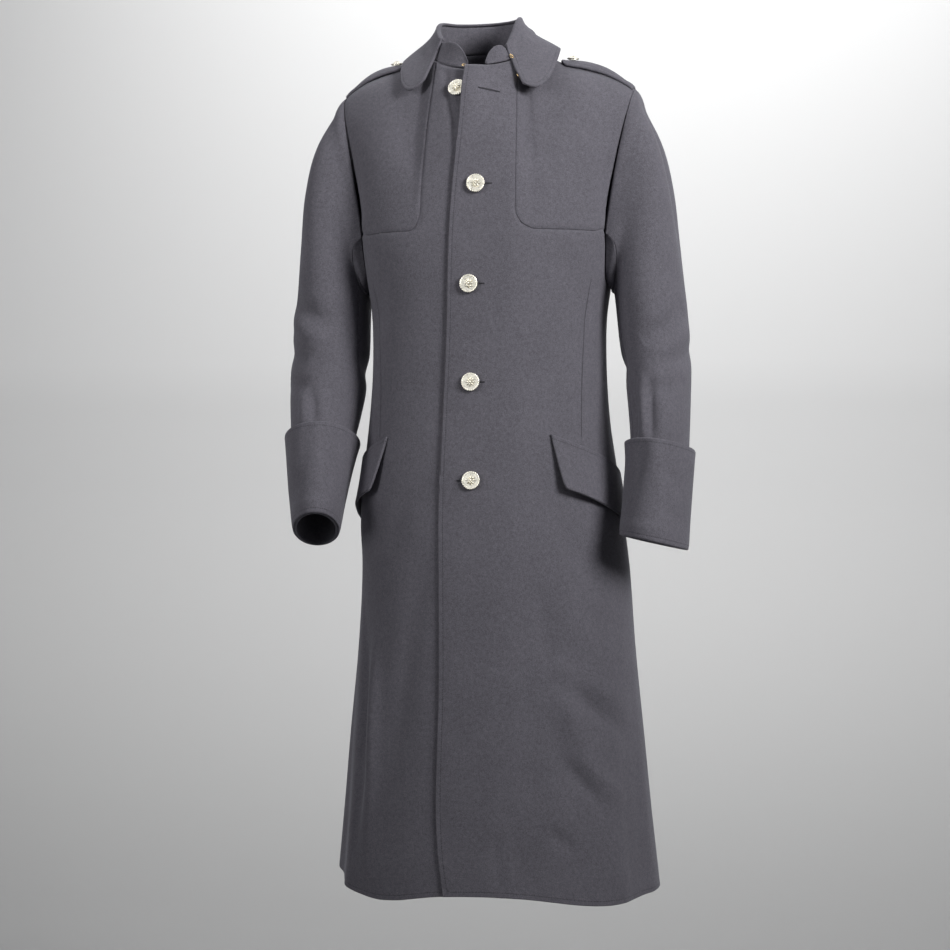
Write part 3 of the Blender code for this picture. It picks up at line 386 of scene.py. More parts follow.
CLOTH_COLOUR = (0.128, 0.122, 0.143)
# the buttonholes' thread is painted darker than the wool, as painted shade of the slit and its stitches
SHADED_THREAD_COLOUR = (0.088, 0.084, 0.098)
SILVER_COLOUR, SILVER_SHINE = (0.84, 0.80, 0.69), 0.30
BRASS_COLOUR, BRASS_SHINE = (0.78, 0.56, 0.27), 0.28
STITCH_FROM_EDGE = 0.0066
STITCH_LENGTH = 0.0034

AIR_BELOW, AIR_ABOVE = 0.025, 0.125
WINDOW_SCALE = 19.0
WALL_LIGHT, WINDOW_LIGHT = 0.03, 1.9
FLOOR_HEIGHT, SWEEP_START, SWEEP_RADIUS = -1.62, 1.6, 1.2
VIEW_TURN, VIEW_DISTANCE, VIEW_HEIGHT = 9.5, 3.2, -0.61
SENSOR, FOCAL_PIXELS, PICTURE_PIXELS, SHIFT_PIXELS = 36, 2203, 950, -15
Lamp = namedtuple("Lamp", "name place aim size power spread")
LAMPS = (
    Lamp("key", (2.75, -1.9, 0.95), (0.02, 0, 0.04), 1.5, 17, 62),
    Lamp("fill", (-2.5, -2.4, 0.50), (0, 0, 0.03), 1.3, 5.6, 60),
    Lamp("backdrop", (0.0, 1.5, 2.5), (0, 3.0, -0.1), 2.8, 84, 124),
)

# The flat cut of what shows of each piece: its width, its length and the area within them
Cut = namedtuple("Cut", "name width length area held rests_on")


# Plain curves
def ease(share):
    """A smooth step from 0 to 1."""
    share = min(1.0, max(0.0, share))
    return share * share * (3 - 2 * share)


def row_at(table, key):
    """The values of a table at a key, on a smooth curve through its rows. The first field is the key."""
    rows = sorted(table)
    key = min(max(key, rows[0][0]), rows[-1][0])
    place = 0
    while place < len(rows) - 2 and key > rows[place + 1][0]:
        place += 1
    low, high = rows[place], rows[place + 1]
    before, after = rows[max(place - 1, 0)], rows[min(place + 2, len(rows) - 1)]
    span = high[0] - low[0]
    t = (key - low[0]) / span
    values = [key]
    for field in range(1, len(low)):
        start = (high[field] - before[field]) / (high[0] - before[0]) * span
        end = (after[field] - low[field]) / (after[0] - low[0]) * span
        values.append(hermite(low[field], start, high[field], end, t))
    return type(low)(*values)


def hermite(start, start_pull, end, end_pull, t):
    """A cubic between two values or points, leaving and arriving along the two pulls."""
    return (start * (2 * t ** 3 - 3 * t ** 2 + 1) + start_pull * (t ** 3 - 2 * t ** 2 + t)
            + end * (3 * t ** 2 - 2 * t ** 3) + end_pull * (t ** 3 - t ** 2))


def wrap(turn):
    """The same turn between -180 and 180 degrees."""
    return (turn + 180) % 360 - 180


# The coat's form, on the same lines as its solids
def torso(turn, height):
    """A point of the coat's outer face below the armholes."""
    ring = row_at(TORSO, height)
    s, c = sin(radians(turn)), cos(radians(turn))
    power = 2 / ring.square
    depth = ring.front if c > 0 else ring.back
    x = ring.across * copysign(abs(s) ** power, s)
    y = -depth * copysign(abs(c) ** power, c)
    swell = 0.0
    for fold in SKIRT_FOLDS:
        if height < fold.top:
            away = wrap(turn - fold.turn - fold.lean * (fold.top - height)) / fold.width
            swell += fold.depth * ease((fold.top - height) / (fold.top - HEM_HEIGHT)) * exp(-away * away)
    return Vector((x + ring.sway, y, height)) + Vector((s, -c, 0)) * swell


def turn_at(x, height):
    """The turn of a point of the front at a distance from the centre."""
    ring = row_at(TORSO, height)
    share = (x - ring.sway) / ring.across
    return degrees(asin(copysign(abs(share) ** (ring.square / 2), share)))


def facing(turn, height):
    """The outward direction of the coat below the armholes."""
    along = torso(turn + 0.5, height) - torso(turn - 0.5, height)
    up = torso(turn, height + 0.004) - torso(turn, height - 0.004)
    return along.cross(up).normalized()


def hem_height(turn):
    """How high the uneven hem hangs at a turn."""
    return HEM_HEIGHT + row_at(HEM, wrap(turn)).lift


def neckline(angle):
    """A point of the neckline. The angle is from the centre back, positive to the wearer's left."""
    s, c = sin(radians(angle)), cos(radians(angle))
    reach = NECK_BACK if c > 0 else NECK_FRONT
    if c > 0:
        height = NECK_SIDE_HEIGHT + (NECK_BACK_HEIGHT - NECK_SIDE_HEIGHT) * c ** 2
    else:
        height = NECK_SIDE_HEIGHT + (NECK_FRONT_HEIGHT - NECK_SIDE_HEIGHT) * abs(c) ** 1.4
    return Vector((NECK_X + NECK_HALF_WIDTH * s, NECK_Y + reach * c, height))


def shoulder_seam(side, share):
    """A point of the shoulder seam, from the neck to the shoulder's tip."""
    start = neckline(side * NECK_SIDE_ANGLE)
    end = Vector((side * SHOULDER_TIP.x, SHOULDER_TIP.y, SHOULDER_TIP.z))
    return start.lerp(end, share) - Vector((0, 0, SHOULDER_WAVE * sin(2 * pi * share)))


def underarm_height(turn):
    """The top of the side panels: the armhole's lower curve."""
    away = (abs(wrap(turn)) - 90) / 23
    return NOTCH_HEIGHT - UNDERARM_DROP * sqrt(max(0.0, 1 - away * away))


def front_lift(point):
    """How far the left front stands off the right one's face."""
    lap = ease((LAP_LIFT_END - point.x) / (LAP_LIFT_END - LAP_LIFT_FULL))
    top = ease((TOP_LIFT_END - point.x) / (TOP_LIFT_END - TOP_LIFT_FULL))
    away = (point.z - TOP_LIFT_HEIGHT) / TOP_LIFT_SPREAD
    return FRONT_LAP_LIFT * lap + TOP_LIFT * top * exp(-away * away)


def place_of(side, column, behind):
    """A column's turn at each height, where it ends, the pull that it arrives with and its neck angle."""
    def turn_of(height):
        return side * column.turn
    if column.share is None:
        pull = NECK_PULL_BACK if behind else NECK_PULL_FRONT
        return Place(turn_of, neckline(side * column.angle), pull, side * column.angle)
    pull = SHOULDER_PULL_BACK if behind else SHOULDER_PULL_FRONT
    if not behind:
        pull = pull.lerp(NECK_PULL_FRONT, 0.5 * (1 - min(1.0, column.share / 0.5)) ** 1.5)
    angle = side * NECK_SIDE_ANGLE if column.share == 0 else None
    return Place(turn_of, shoulder_seam(side, column.share), pull, angle)


def front_columns(side):
    """The places of one front's columns, from its edge to the armhole."""
    edge_table = LEFT_FRONT_EDGE if side == LEFT else RIGHT_FRONT_EDGE
    first = FRONT_NECK[side][0]
    made = []
    for step in (0.0, 0.5):
        def turn_of(height, step=step):
            edge_turn = turn_at(row_at(edge_table, height).x, height)
            return edge_turn + (side * first.turn - edge_turn) * step
        edge_top = row_at(edge_table, NECK_FRONT_HEIGHT).x
        edge_angle = 180 + side * degrees(asin((NECK_X - edge_top) / NECK_HALF_WIDTH))
        angle = edge_angle + (first.angle - edge_angle) * step
        made.append(place_of(side, Column(0, angle, None), False)._replace(turn_of=turn_of))
    made += [place_of(side, column, False) for column in FRONT_NECK[side] + SHOULDER[side]]
    return made


def back_columns(side):
    """The places of one back's columns, from the armhole to the centre back."""
    made = [place_of(side, column._replace(turn=turn), True)
            for turn, column in zip(BACK_SHOULDER_TURNS, reversed(SHOULDER[side]))]
    return made + [place_of(side, column, True) for column in BACK_NECK + (Column(180, 0, None),)]


def high_point(column, share):
    """A point of a column above the notch, from 0 at the notch to 1 at its top."""
    turn_of, top, pull, _ = column
    base = torso(turn_of(NOTCH_HEIGHT), NOTCH_HEIGHT)
    below = torso(turn_of(NOTCH_HEIGHT - 0.01), NOTCH_HEIGHT - 0.01)
    above = torso(turn_of(NOTCH_HEIGHT + 0.01), NOTCH_HEIGHT + 0.01)
    rise = (above - below) / 0.02 * (top.z - NOTCH_HEIGHT)
    return hermite(base, rise, top, pull, share)


def low_point(column, row, top_height):
    """A point of a column between the hem and the notch or the armhole's floor."""
    turn_of = column.turn_of
    bottom = hem_height(turn_of(HEM_HEIGHT))
    height = bottom + (top_height - bottom) * row / LOW_ROWS
    return torso(turn_of(height), height)


class Strip:
    """The whole coat as one surface of named points, so that its pieces share points and directions."""

    def __init__(self):
        self.points = {}
        self.cells = {}
        self.neck_edge = {}
        self.armhole_keys = {}
        for side in (LEFT, RIGHT):
            self.add_body(side)
        for side in (LEFT, RIGHT):
            self.add_sleeve(side)
        self.directions = directions_of(self.all_cells(), self.points)
        self.lift_left_front()
        self.directions = directions_of(self.all_cells(), self.points)

    def all_cells(self):
        return [cell for cells in self.cells.values() for cell in cells]

    def key(self, side, index, row):
        """The point's name. The back's shoulder and centre columns reuse the points they are sewn to."""
        count = len(self.places)
        back_first = self.back_first
        if row == LOW_ROWS + HIGH_ROWS and back_first <= index <= back_first + len(SHOULDER[side]) - 1:
            index = self.front_armhole - (index - back_first)
        if index == count - 1:
            return ("centre_back", row)
        return (side, index, row)

    def add_body(self, side):
        """One half of the body: its columns of points and the cells of its pieces."""
        fronts = front_columns(side)
        backs = back_columns(side)
        sides = [Place(lambda height, turn=side * turn: turn, None, None, None) for turn in SIDE_TURNS]
        self.places = fronts + sides + backs
        self.front_armhole = len(fronts) - 1
        self.side_seam = self.front_armhole + 1 + SIDE_TURNS.index(SIDE_SEAM_TURN)
        self.back_first = len(fronts) + len(sides)
        self.yoke_column = 4
        last = len(self.places) - 1
        for index, column in enumerate(self.places):
            under = self.front_armhole < index < self.back_first
            top_height = underarm_height(column.turn_of(NOTCH_HEIGHT)) if under else NOTCH_HEIGHT
            for row in range(LOW_ROWS + 1):
                self.points.setdefault(self.key(side, index, row), low_point(column, row, top_height))
            if under:
                continue
            for row in range(1, HIGH_ROWS + 1):
                place = self.key(side, index, LOW_ROWS + row)
                self.points.setdefault(place, high_point(column, row / HIGH_ROWS))
            if column.angle is not None:
                self.neck_edge[column.angle] = place
        front_low = [(index, row) for index in range(self.side_seam) for row in range(LOW_ROWS)]
        front_high = [(index, row) for index in range(self.yoke_column) for row in self.high_rows()]
        yoke = [(i, row) for i in range(self.yoke_column, self.front_armhole) for row in self.high_rows()]
        back_low = [(index, row) for index in range(self.side_seam, last) for row in range(LOW_ROWS)]
        back_high = [(index, row) for index in range(self.back_first, last) for row in self.high_rows()]
        name = SIDE_NAME[side]
        self.cells["front_" + name] = self.quads(side, front_low + front_high)
        self.cells["yoke_" + name] = self.quads(side, yoke)
        self.cells["back_" + name] = self.quads(side, back_low + back_high)

    def high_rows(self):
        return range(LOW_ROWS, LOW_ROWS + HIGH_ROWS)

    def quads(self, side, corners):
        """Cells from the numbers of their first corners."""
        made = []
        for index, row in corners:
            quad = [self.key(side, index, row), self.key(side, index + 1, row),
                    self.key(side, index + 1, row + 1), self.key(side, index, row + 1)]
            made.append(tuple(quad if side == LEFT else reversed(quad)))
        return made

    def armhole(self, side):
        """The armhole's points in order from the shoulder tip, forward and round, with their angles."""
        top = LOW_ROWS + HIGH_ROWS
        keys = [self.key(side, self.front_armhole, top - step) for step in range(HIGH_ROWS + 1)]
        keys += [self.key(side, index, LOW_ROWS) for index in range(self.front_armhole + 1, self.back_first)]
        keys += [self.key(side, self.back_first, LOW_ROWS + step) for step in range(HIGH_ROWS)]
        under = len(SIDE_TURNS) + 1
        angles = [NOTCH_ANGLE * step / HIGH_ROWS for step in range(HIGH_ROWS + 1)]
        angles += [NOTCH_ANGLE + (360 - 2 * NOTCH_ANGLE) * step / under for step in range(1, under)]
        angles += [360 - NOTCH_ANGLE * (HIGH_ROWS - step) / HIGH_ROWS for step in range(HIGH_ROWS)]
        return keys, angles

    def add_sleeve(self, side):
        """A sleeve hung from the armhole's points, and the cells of its two pieces."""
        keys, angles = self.armhole(side)
        rows = [keys]
        for row in range(1, CAP_ROWS + ARM_ROWS + 1):
            names = []
            for place, angle in enumerate(angles):
                name = ("sleeve", side, row, place)
                if row <= CAP_ROWS:
                    point = cap_point(side, self.points[keys[place]], angle, row / CAP_ROWS)
                else:
                    share = (row - CAP_ROWS) / ARM_ROWS
                    point = arm_point(side, share, twisted(angle), 0.0)
                self.points[name] = point
                names.append(name)
            rows.append(names)
        front_notch = HIGH_ROWS
        back_notch = HIGH_ROWS + len(SIDE_TURNS) + 1
        around = len(keys)
        for part, places in (("top", [*range(back_notch, around), *range(front_notch)]),
                             ("under", range(front_notch, back_notch))):
            made = []
            for upper, lower in zip(rows, rows[1:]):
                for place in places:
                    after = (place + 1) % around
                    quad = [upper[place], lower[place], lower[after], upper[after]]
                    made.append(tuple(reversed(quad) if side == LEFT else quad))
            self.cells["sleeve_%s_%s" % (SIDE_NAME[side], part)] = made
        self.armhole_keys[side] = keys

    def lift_left_front(self):
        """Lays the left front over the right one."""
        keys = dict.fromkeys(key for cell in self.cells["front_left"] for key in cell)
        for key in keys:
            point = self.points[key]
            if point.y < 0:
                self.points[key] = point + self.directions[key] * front_lift(point)


def directions_of(cells, points):
    """The outward direction at each point: the mean of its cells' directions, by corner angle."""
    total = {}
    for cell in cells:
        count = len(cell)
        corners = [points[key] for key in cell]
        flat = (corners[2] - corners[0]).cross(corners[3] - corners[1]).normalized()
        for place, key in enumerate(cell):
            one = corners[(place + 1) % count] - corners[place]
            other = corners[place - 1] - corners[place]
            total[key] = total.get(key, Vector((0, 0, 0))) + flat * one.angle(other, 0.0)
    return {key: vector.normalized() for key, vector in total.items()}


def arm_ring(side, share):
    """The sleeve's section at a share of the way from the biceps to its end."""
    table = SLEEVE[side]
    heights = [-ring.height for ring in table]
    height = heights[0] + (heights[-1] - heights[0]) * share
    return row_at([ring._replace(height=-ring.height) for ring in table], height)


def arm_point(side, share, angle, outset):
    """A point of the sleeve below the biceps. The angle runs from its outer edge forward."""
    ring = arm_ring(side, share)
    lean, roll, yaw = radians(ring.lean), radians(ring.roll), radians(ring.yaw)
    across = Vector((side * cos(roll) * cos(yaw), side * cos(roll) * sin(yaw), -sin(roll)))
    ahead = Vector((cos(lean) * sin(yaw), -cos(lean) * cos(yaw), sin(lean)))
    centre = Vector((side * ring.x, ring.y, -ring.height))
    wide = (ring.half_width + outset) * cos(radians(angle))
    deep = (ring.half_depth + outset) * sin(radians(angle))
    return centre + across * wide + ahead * deep


def twisted(angle):
    """The angle round the sleeve at which a column lies, once its seams have turned in under the arm."""
    turned = NOTCH_ANGLE + SEAM_TWIST
    if angle <= NOTCH_ANGLE:
        return angle * turned / NOTCH_ANGLE
    if angle >= 360 - NOTCH_ANGLE:
        return 360 - (360 - angle) * turned / NOTCH_ANGLE
    return 180 + (angle - 180) * (180 - turned) / (180 - NOTCH_ANGLE)


def cap_point(side, seam_point, angle, share):
    """A point of the sleeve between the armhole and the biceps."""
    end = arm_point(side, 0.0, twisted(angle), 0.0)
    reach = (end - seam_point).length
    s, c = sin(radians(angle)), cos(radians(angle))
    inner = max(0.0, -c)
    leave = Vector((side * (CAP_LEAVE[side] + (1 - CAP_LEAVE[side]) * abs(s) - 0.34 * inner), -0.22 * s,
                    -(0.80 - 0.47 * abs(s) + 0.25 * inner))).normalized()
    arrive = (arm_point(side, 0.04, twisted(angle), 0.0) - end).normalized()
    return hermite(seam_point, leave * reach, end, arrive * reach, share)


def collar_point(point):
    """A table's row as a point round the neck."""
    angle = radians(point.angle)
    return Vector((NECK_X + point.radius * sin(angle), NECK_Y + point.radius * cos(angle), point.height))


# Dense cloth with a soft surface
def unit(vectors):
    """Vectors brought to a length of 1."""
    return vectors / np.maximum(np.linalg.norm(vectors, axis=-1, keepdims=True), 1e-12)


def smooth(share):
    """The smooth step for arrays."""
    share = np.clip(share, 0.0, 1.0)
    return share * share * (3 - 2 * share)


def curve_shares(t):
    """How much of each of four neighbours a smooth curve through the middle two takes."""
    return (-0.5 * t + t ** 2 - 0.5 * t ** 3, 1 - 2.5 * t ** 2 + 1.5 * t ** 3,
            0.5 * t + 2 * t ** 2 - 1.5 * t ** 3, -0.5 * t ** 2 + 0.5 * t ** 3)


def surface(net, across, up):
    """Points of the smooth cloth through a net, at column and row numbers that need not be whole."""
    column = np.clip(np.floor(across).astype(int), 1, net.shape[0] - 3)
    row = np.clip(np.floor(up).astype(int), 1, net.shape[1] - 3)
    made = 0
    for a, side_share in enumerate(curve_shares(across - column)):
        for b, up_share in enumerate(curve_shares(up - row)):
            made = made + net[column + a - 1, row + b - 1] * (side_share * up_share)[..., None]
    return made


def stops_along(lengths, seams, step):
    """Where the cloth is sampled: evenly, and closer beside the seams. Whole numbers are the net's lines."""
    made = [0.0]
    for unit_number, length in enumerate(lengths):
        count = max(2, ceil(length / step))
        made += [unit_number + (n + 1) / count for n in range(count)]
    for seam in seams:
        for length, way in ((lengths[max(seam - 1, 0)], -1), (lengths[min(seam, len(lengths) - 1)], 1)):
            for away in SEAM_SAMPLES:
                place = seam + way * away / length
                if 0 < place < len(lengths):
                    made = [one for one in made
                            if abs(one - place) * length > 0.0007 or one == round(one)] + [place]
    return np.array(sorted(made))


def grid_quads(wide, high, mask=None, outward=True):
    """Corner numbers of a grid's cells. The point of column c and row r has the number c * high + r."""
    c, r = np.meshgrid(np.arange(wide - 1), np.arange(high - 1), indexing="ij")
    if mask is not None:
        c, r = c[mask], r[mask]
    c, r = c.ravel(), r.ravel()
    corners = [c * high + r, c * high + r + 1, (c + 1) * high + r + 1, (c + 1) * high + r]
    return np.stack(corners if outward else corners[::-1], axis=1)


def normals_of(points, quads):
    """The outward direction at each point of a mesh of cells."""
    a, b, c, d = (points[quads[:, k]] for k in range(4))
    flat = np.cross(c - a, d - b)
    total = np.zeros_like(points)
    for k in range(4):
        np.add.at(total, quads[:, k], flat)
    return unit(total)


def rim_of(quads):
    """The directed edges that only one cell has."""
    edges = np.concatenate([quads[:, [k, (k + 1) % 4]] for k in range(4)])
    count = int(quads.max()) + 1
    forward = edges[:, 0] * count + edges[:, 1]
    backward = edges[:, 1] * count + edges[:, 0]
    return edges[~np.isin(forward, backward)]


def cloth_wall(name, points, quads, thickness, normals, roll, marks, material):
    """A closed wall of cloth under its outer face. A free edge rolls over softly, a sewn one stays square."""
    used, numbers = np.unique(quads, return_inverse=True)
    quads = numbers.reshape(quads.shape)
    points, normals, roll = points[used], normals[used], roll[used]
    marks = {label: values[used] for label, values in marks.items()}
    edges = rim_of(quads)
    run = unit(points[edges[:, 1]] - points[edges[:, 0]])
    aside = np.cross(unit(normals[edges].sum(axis=1)), run)
    inward = np.zeros_like(points)
    np.add.at(inward, edges[:, 0], aside)
    np.add.at(inward, edges[:, 1], aside)
    inward = unit(inward)
    outer = points + inward * (SEAM_GAP / 2 + roll[:, None])
    inner = outer - normals * thickness
    on_rim = np.unique(edges)
    rim = points[on_rim] + inward[on_rim] * SEAM_GAP / 2 - normals[on_rim] * thickness / 2
    number = np.zeros(len(points), int)
    number[on_rim] = np.arange(len(on_rim)) + 2 * len(points)
    start, end = edges[:, 0], edges[:, 1]
    below = len(points)
    faces = np.concatenate([
        quads, quads[:, ::-1] + below,
        np.stack([end, start, number[start], number[end]], axis=1),
        np.stack([number[end], number[start], start + below, end + below], axis=1)])
    mesh = bpy.data.meshes.new(name)
    mesh.from_pydata(np.concatenate([outer, inner, rim]).tolist(), [], faces.tolist())
    for label, values in marks.items():
        whole = np.concatenate([values, values, values[on_rim]])
        mesh.attributes.new(label, "FLOAT", "POINT").data.foreach_set("value", whole.astype(np.float32))
    mesh.shade_smooth()
    mesh.materials.append(material)
    item = bpy.data.objects.new(name, mesh)
    bpy.context.scene.collection.objects.link(item)
    return item


def body_net(strip):
    """The body's points in order: columns from the right front's edge round the back to the left one's."""
    last = len(strip.places) - 1
    top = LOW_ROWS + HIGH_ROWS
    net = np.full((2 * last + 3, top + 3, 3), np.nan)
    for side in (LEFT, RIGHT):
        for index in range(last + 1):
            for row in range(top + 1):
                key = strip.key(side, index, row)
                if key in strip.points:
                    net[side * (last - index) + last + 1, row + 1] = strip.points[key]
    net[:, top + 2] = 2 * net[:, top + 1] - net[:, top]
    shoulder = range(len(SHOULDER[LEFT]))
    for side in (LEFT, RIGHT):
        for step in shoulder:
            front = side * (last - strip.front_armhole + step) + last + 1
            back = side * (last - strip.back_first - step) + last + 1
            net[front, top + 2] = net[back, top]
            net[back, top + 2] = net[front, top]
    net[:, 0] = 2 * net[:, 1] - net[:, 2]
    net[0], net[-1] = 2 * net[1] - net[2], 2 * net[-2] - net[-3]
    low, high = net.copy(), net.copy()
    missing = np.isnan(low[:, LOW_ROWS + 2, 0])
    low[missing, LOW_ROWS + 2] = 2 * low[missing, LOW_ROWS + 1] - low[missing, LOW_ROWS]
    for side in (LEFT, RIGHT):
        for edge, way in ((last - strip.front_armhole, -1), (last - strip.back_first, 1)):
            column = side * edge + last + 1
            ghost = column + side * way
            rows = slice(LOW_ROWS + 2, None)
            high[ghost, rows] = 2 * high[column, rows] - high[column - side * way, rows]
    return np.nan_to_num(low), np.nan_to_num(high)


class Body:
    """The dense cloth of the coat's body as one grid, from which its pieces are cut."""

    def __init__(self, strip):
        self.half = len(strip.places) - 1
        self.yoke = self.half - strip.yoke_column
        self.front_armhole = self.half - strip.front_armhole
        self.back_armhole = self.half - strip.back_first
        self.side_seam = self.half - strip.side_seam
        self.low, self.high = body_net(strip)
        widths = np.linalg.norm(np.diff(self.low[1:-1, 1:LOW_ROWS + 2], axis=0), axis=2).max(axis=1)
        heights = np.linalg.norm(np.diff(self.high[self.half + 1, 1:-1], axis=0), axis=1)
        seams = [self.half + side * one for side in (LEFT, RIGHT)
                 for one in (self.half, self.yoke, self.side_seam, self.front_armhole, self.back_armhole)]
        self.columns = stops_along(widths, seams + [self.half], BODY_STEP) - self.half
        self.rows = stops_along(heights, [0, LOW_ROWS], BODY_STEP)
        self.across, self.up = np.meshgrid(self.columns, self.rows, indexing="ij")
        self.grid = self.at(self.across, self.up)
        middle_across = (self.columns[1:] + self.columns[:-1]) / 2
        middle_up = (self.rows[1:] + self.rows[:-1]) / 2
        self.cell_across, self.cell_up = np.meshgrid(middle_across, middle_up, indexing="ij")
        out = abs(self.cell_across)
        self.real = (self.cell_up < LOW_ROWS) | (out > self.front_armhole) | (out < self.back_armhole)
        self.add_relief()

    def rounded(self, across, up):
        """Bends the cloth's lines round the yoke's lower inner corner."""
        out = abs(across)
        wide = np.linalg.norm(self.low[-5, LOW_ROWS + 1] - self.low[-6, LOW_ROWS + 1])
        tall = np.linalg.norm(self.low[-5, LOW_ROWS + 1] - self.low[-5, LOW_ROWS + 2])
        away = abs(out - self.yoke) * wide + abs(up - LOW_ROWS) * tall
        shift = CORNER_CUT * YOKE_CORNER * np.clip(1 - away / YOKE_CORNER, 0, 1) ** 1.7
        return across - np.sign(across) * shift / wide, up + shift / tall

    def at(self, across, up):
        """Points of the smooth cloth at column and row numbers."""
        across, up = self.rounded(across, up)
        low = surface(self.low, across + self.half + 1, np.minimum(up, LOW_ROWS) + 1)
        high = surface(self.high, across + self.half + 1, np.maximum(up, LOW_ROWS) + 1)
        return np.where((up <= LOW_ROWS)[..., None], low, high)

    def width_at(self, column, way):
        """The width of the cloth between two of the net's columns, at each of the grid's rows."""
        start = self.high[column + self.half + 1]
        end = self.high[column + way + self.half + 1]
        known = np.linalg.norm(end - start, axis=1)[1:-1]
        return np.interp(self.rows, np.arange(len(known)), known)

    def away_from(self, column, way):
        """How far each point is from one of the net's columns, in metres."""
        return abs(self.across - column) * self.width_at(column, way)[None, :]

    def add_relief(self):
        """Presses in the seams, darts and creases, and notes where the stitches run."""
        quads = grid_quads(len(self.columns), len(self.rows), self.real)
        wide, high = self.across.shape
        normals = normals_of(self.grid.reshape(-1, 3), quads).reshape(wide, high, 3)
        relief = np.zeros((wide, high))
        tall = np.linalg.norm(self.high[-5, LOW_ROWS + 2] - self.high[-5, LOW_ROWS + 1])
        out = abs(self.across)
        above = self.up > LOW_ROWS - 0.01
        for side in (LEFT, RIGHT):
            relief -= groove(self.away_from(side * self.side_seam, side), SIDE_SEAM) * ~above
            yoke = groove(self.away_from(side * self.yoke, -side), YOKE_SEAM)
            relief -= yoke * above * (self.across * side > 0)
            for edge, way in ((self.front_armhole, 1), (self.back_armhole, -1)):
                near = groove(self.away_from(side * edge, side * way), ARMHOLE_SEAM)
                relief -= near * above * (self.across * side > 0)
        relief -= groove(self.away_from(0, 1), CENTRE_SEAM)
        bottom = groove(abs(self.up - LOW_ROWS) * tall, YOKE_SEAM)
        relief -= bottom * (out <= self.yoke) * (out >= self.front_armhole)
        under = groove(abs(self.up - LOW_ROWS) * UNDERARM_ROW, UNDERARM_SEAM)
        relief -= under * (out < self.front_armhole) * (out > self.back_armhole)
        for side in (LEFT, RIGHT):
            line = [np.array(torso(side * dart.turn, dart.height)) for dart in DARTS]
            relief -= groove(distance_to_line(self.grid, line)[0], DART_SEAM)
        for crease in BODY_CREASES:
            line = [np.array(torso(turn, height)) for turn, height in crease.line]
            relief += crease_relief(self.grid, crease, line)
        for crease in FRONT_CREASES:
            line = [self.front_place(x, z) for x, z in crease.line]
            here = self.across > 0 if crease.line[-1][0] > OVERLAP_X else self.across < 0
            relief += crease_relief(self.grid, crease, line) * here
        self.grid = self.grid + normals * relief[..., None]
        self.normals = normals_of(self.grid.reshape(-1, 3), quads).reshape(wide, high, 3)
        edge = np.where(self.across > 0, self.away_from(self.half, -1), self.away_from(-self.half, 1))
        hem = self.up * ROW_HEIGHT
        self.edge_away = np.minimum(edge, hem)
        around = self.across * COLUMN_WIDTH
        self.edge_along = np.where(edge < hem, self.grid[..., 2], around)
        self.seam_away = self.dart_away()

    def dart_away(self):
        """The distance to the darts along the cloth, with a sign that changes across each one."""
        made = np.full(self.across.shape, NO_EDGE)
        x, y, z = self.grid[..., 0], self.grid[..., 1], self.grid[..., 2]
        for side in (LEFT, RIGHT):
            line = np.array([torso(side * dart.turn, dart.height) for dart in reversed(DARTS)])
            run = np.array(torso(side * (DARTS[1].turn + 1), DARTS[1].height)) - line[1]
            run /= np.linalg.norm(run)
            away = (x - np.interp(z, line[:, 2], line[:, 0])) * run[0]
            away += (y - np.interp(z, line[:, 2], line[:, 1])) * run[1]
            beyond = np.maximum(0, np.maximum(z - line[-1, 2], line[0, 2] - z))
            near = (abs(away) < 0.05) & (self.across * side > 0) & (y < 0)
            made = np.where(near, away + np.copysign(beyond, away), made)
        return made

    def front_place(self, x, z):
        """The point of the front nearest to a place seen from straight ahead."""
        away = (self.grid[..., 0] - x) ** 2 + (self.grid[..., 2] - z) ** 2
        side = LEFT if x > OVERLAP_X else RIGHT
        away = np.where((self.grid[..., 1] < -0.02) & (self.across * side > 0), away, 9.0)
        return self.grid[np.unravel_index(away.argmin(), away.shape)]

    def cut(self, name, mask, material):
        """One piece of the coat's body, from the cells that the mask names."""
        quads = grid_quads(len(self.columns), len(self.rows), mask & self.real)
        free = smooth(1 - self.edge_away / FREE_ROLL_REACH) * FREE_ROLL
        marks = {"edge_away": self.edge_away.ravel(), "edge_along": self.edge_along.ravel(),
                 "seam_away": self.seam_away.ravel()}
        return cloth_wall(name, self.grid.reshape(-1, 3), quads, CLOTH, self.normals.reshape(-1, 3),
                          free.ravel(), marks, material)


def groove(away, seam):
    """The depth of a pressed line at a distance from it."""
    return seam.depth * np.exp(-(away / seam.width) ** 2)


def distance_to_line(points, line):
    """How far points are from a line of several stretches, and how far along it they are, from 0 to 1."""
    lengths = [np.linalg.norm(b - a) for a, b in zip(line, line[1:])]
    whole, gone = sum(lengths), 0.0
    away = np.full(points.shape[:-1], 1e9)
    along = np.zeros(points.shape[:-1])
    for (start, end), length in zip(zip(line, line[1:]), lengths):
        run = (end - start) / length
        reach = np.clip(((points - start) * run).sum(-1), 0, length)
        here = np.linalg.norm(points - start - reach[..., None] * run, axis=-1)
        along = np.where(here < away, (gone + reach) / whole, along)
        away = np.minimum(away, here)
        gone += length
    return away, along


def crease_relief(points, crease, line):
    """A soft trough or ridge along a line on the cloth, fading at both ends."""
    away, along = distance_to_line(points, line)
    fade = np.sin(np.pi * np.clip(along, 0.0, 1.0) ** crease.lean) ** 0.7
    return crease.depth * np.exp(-(away / crease.width) ** 2) * fade


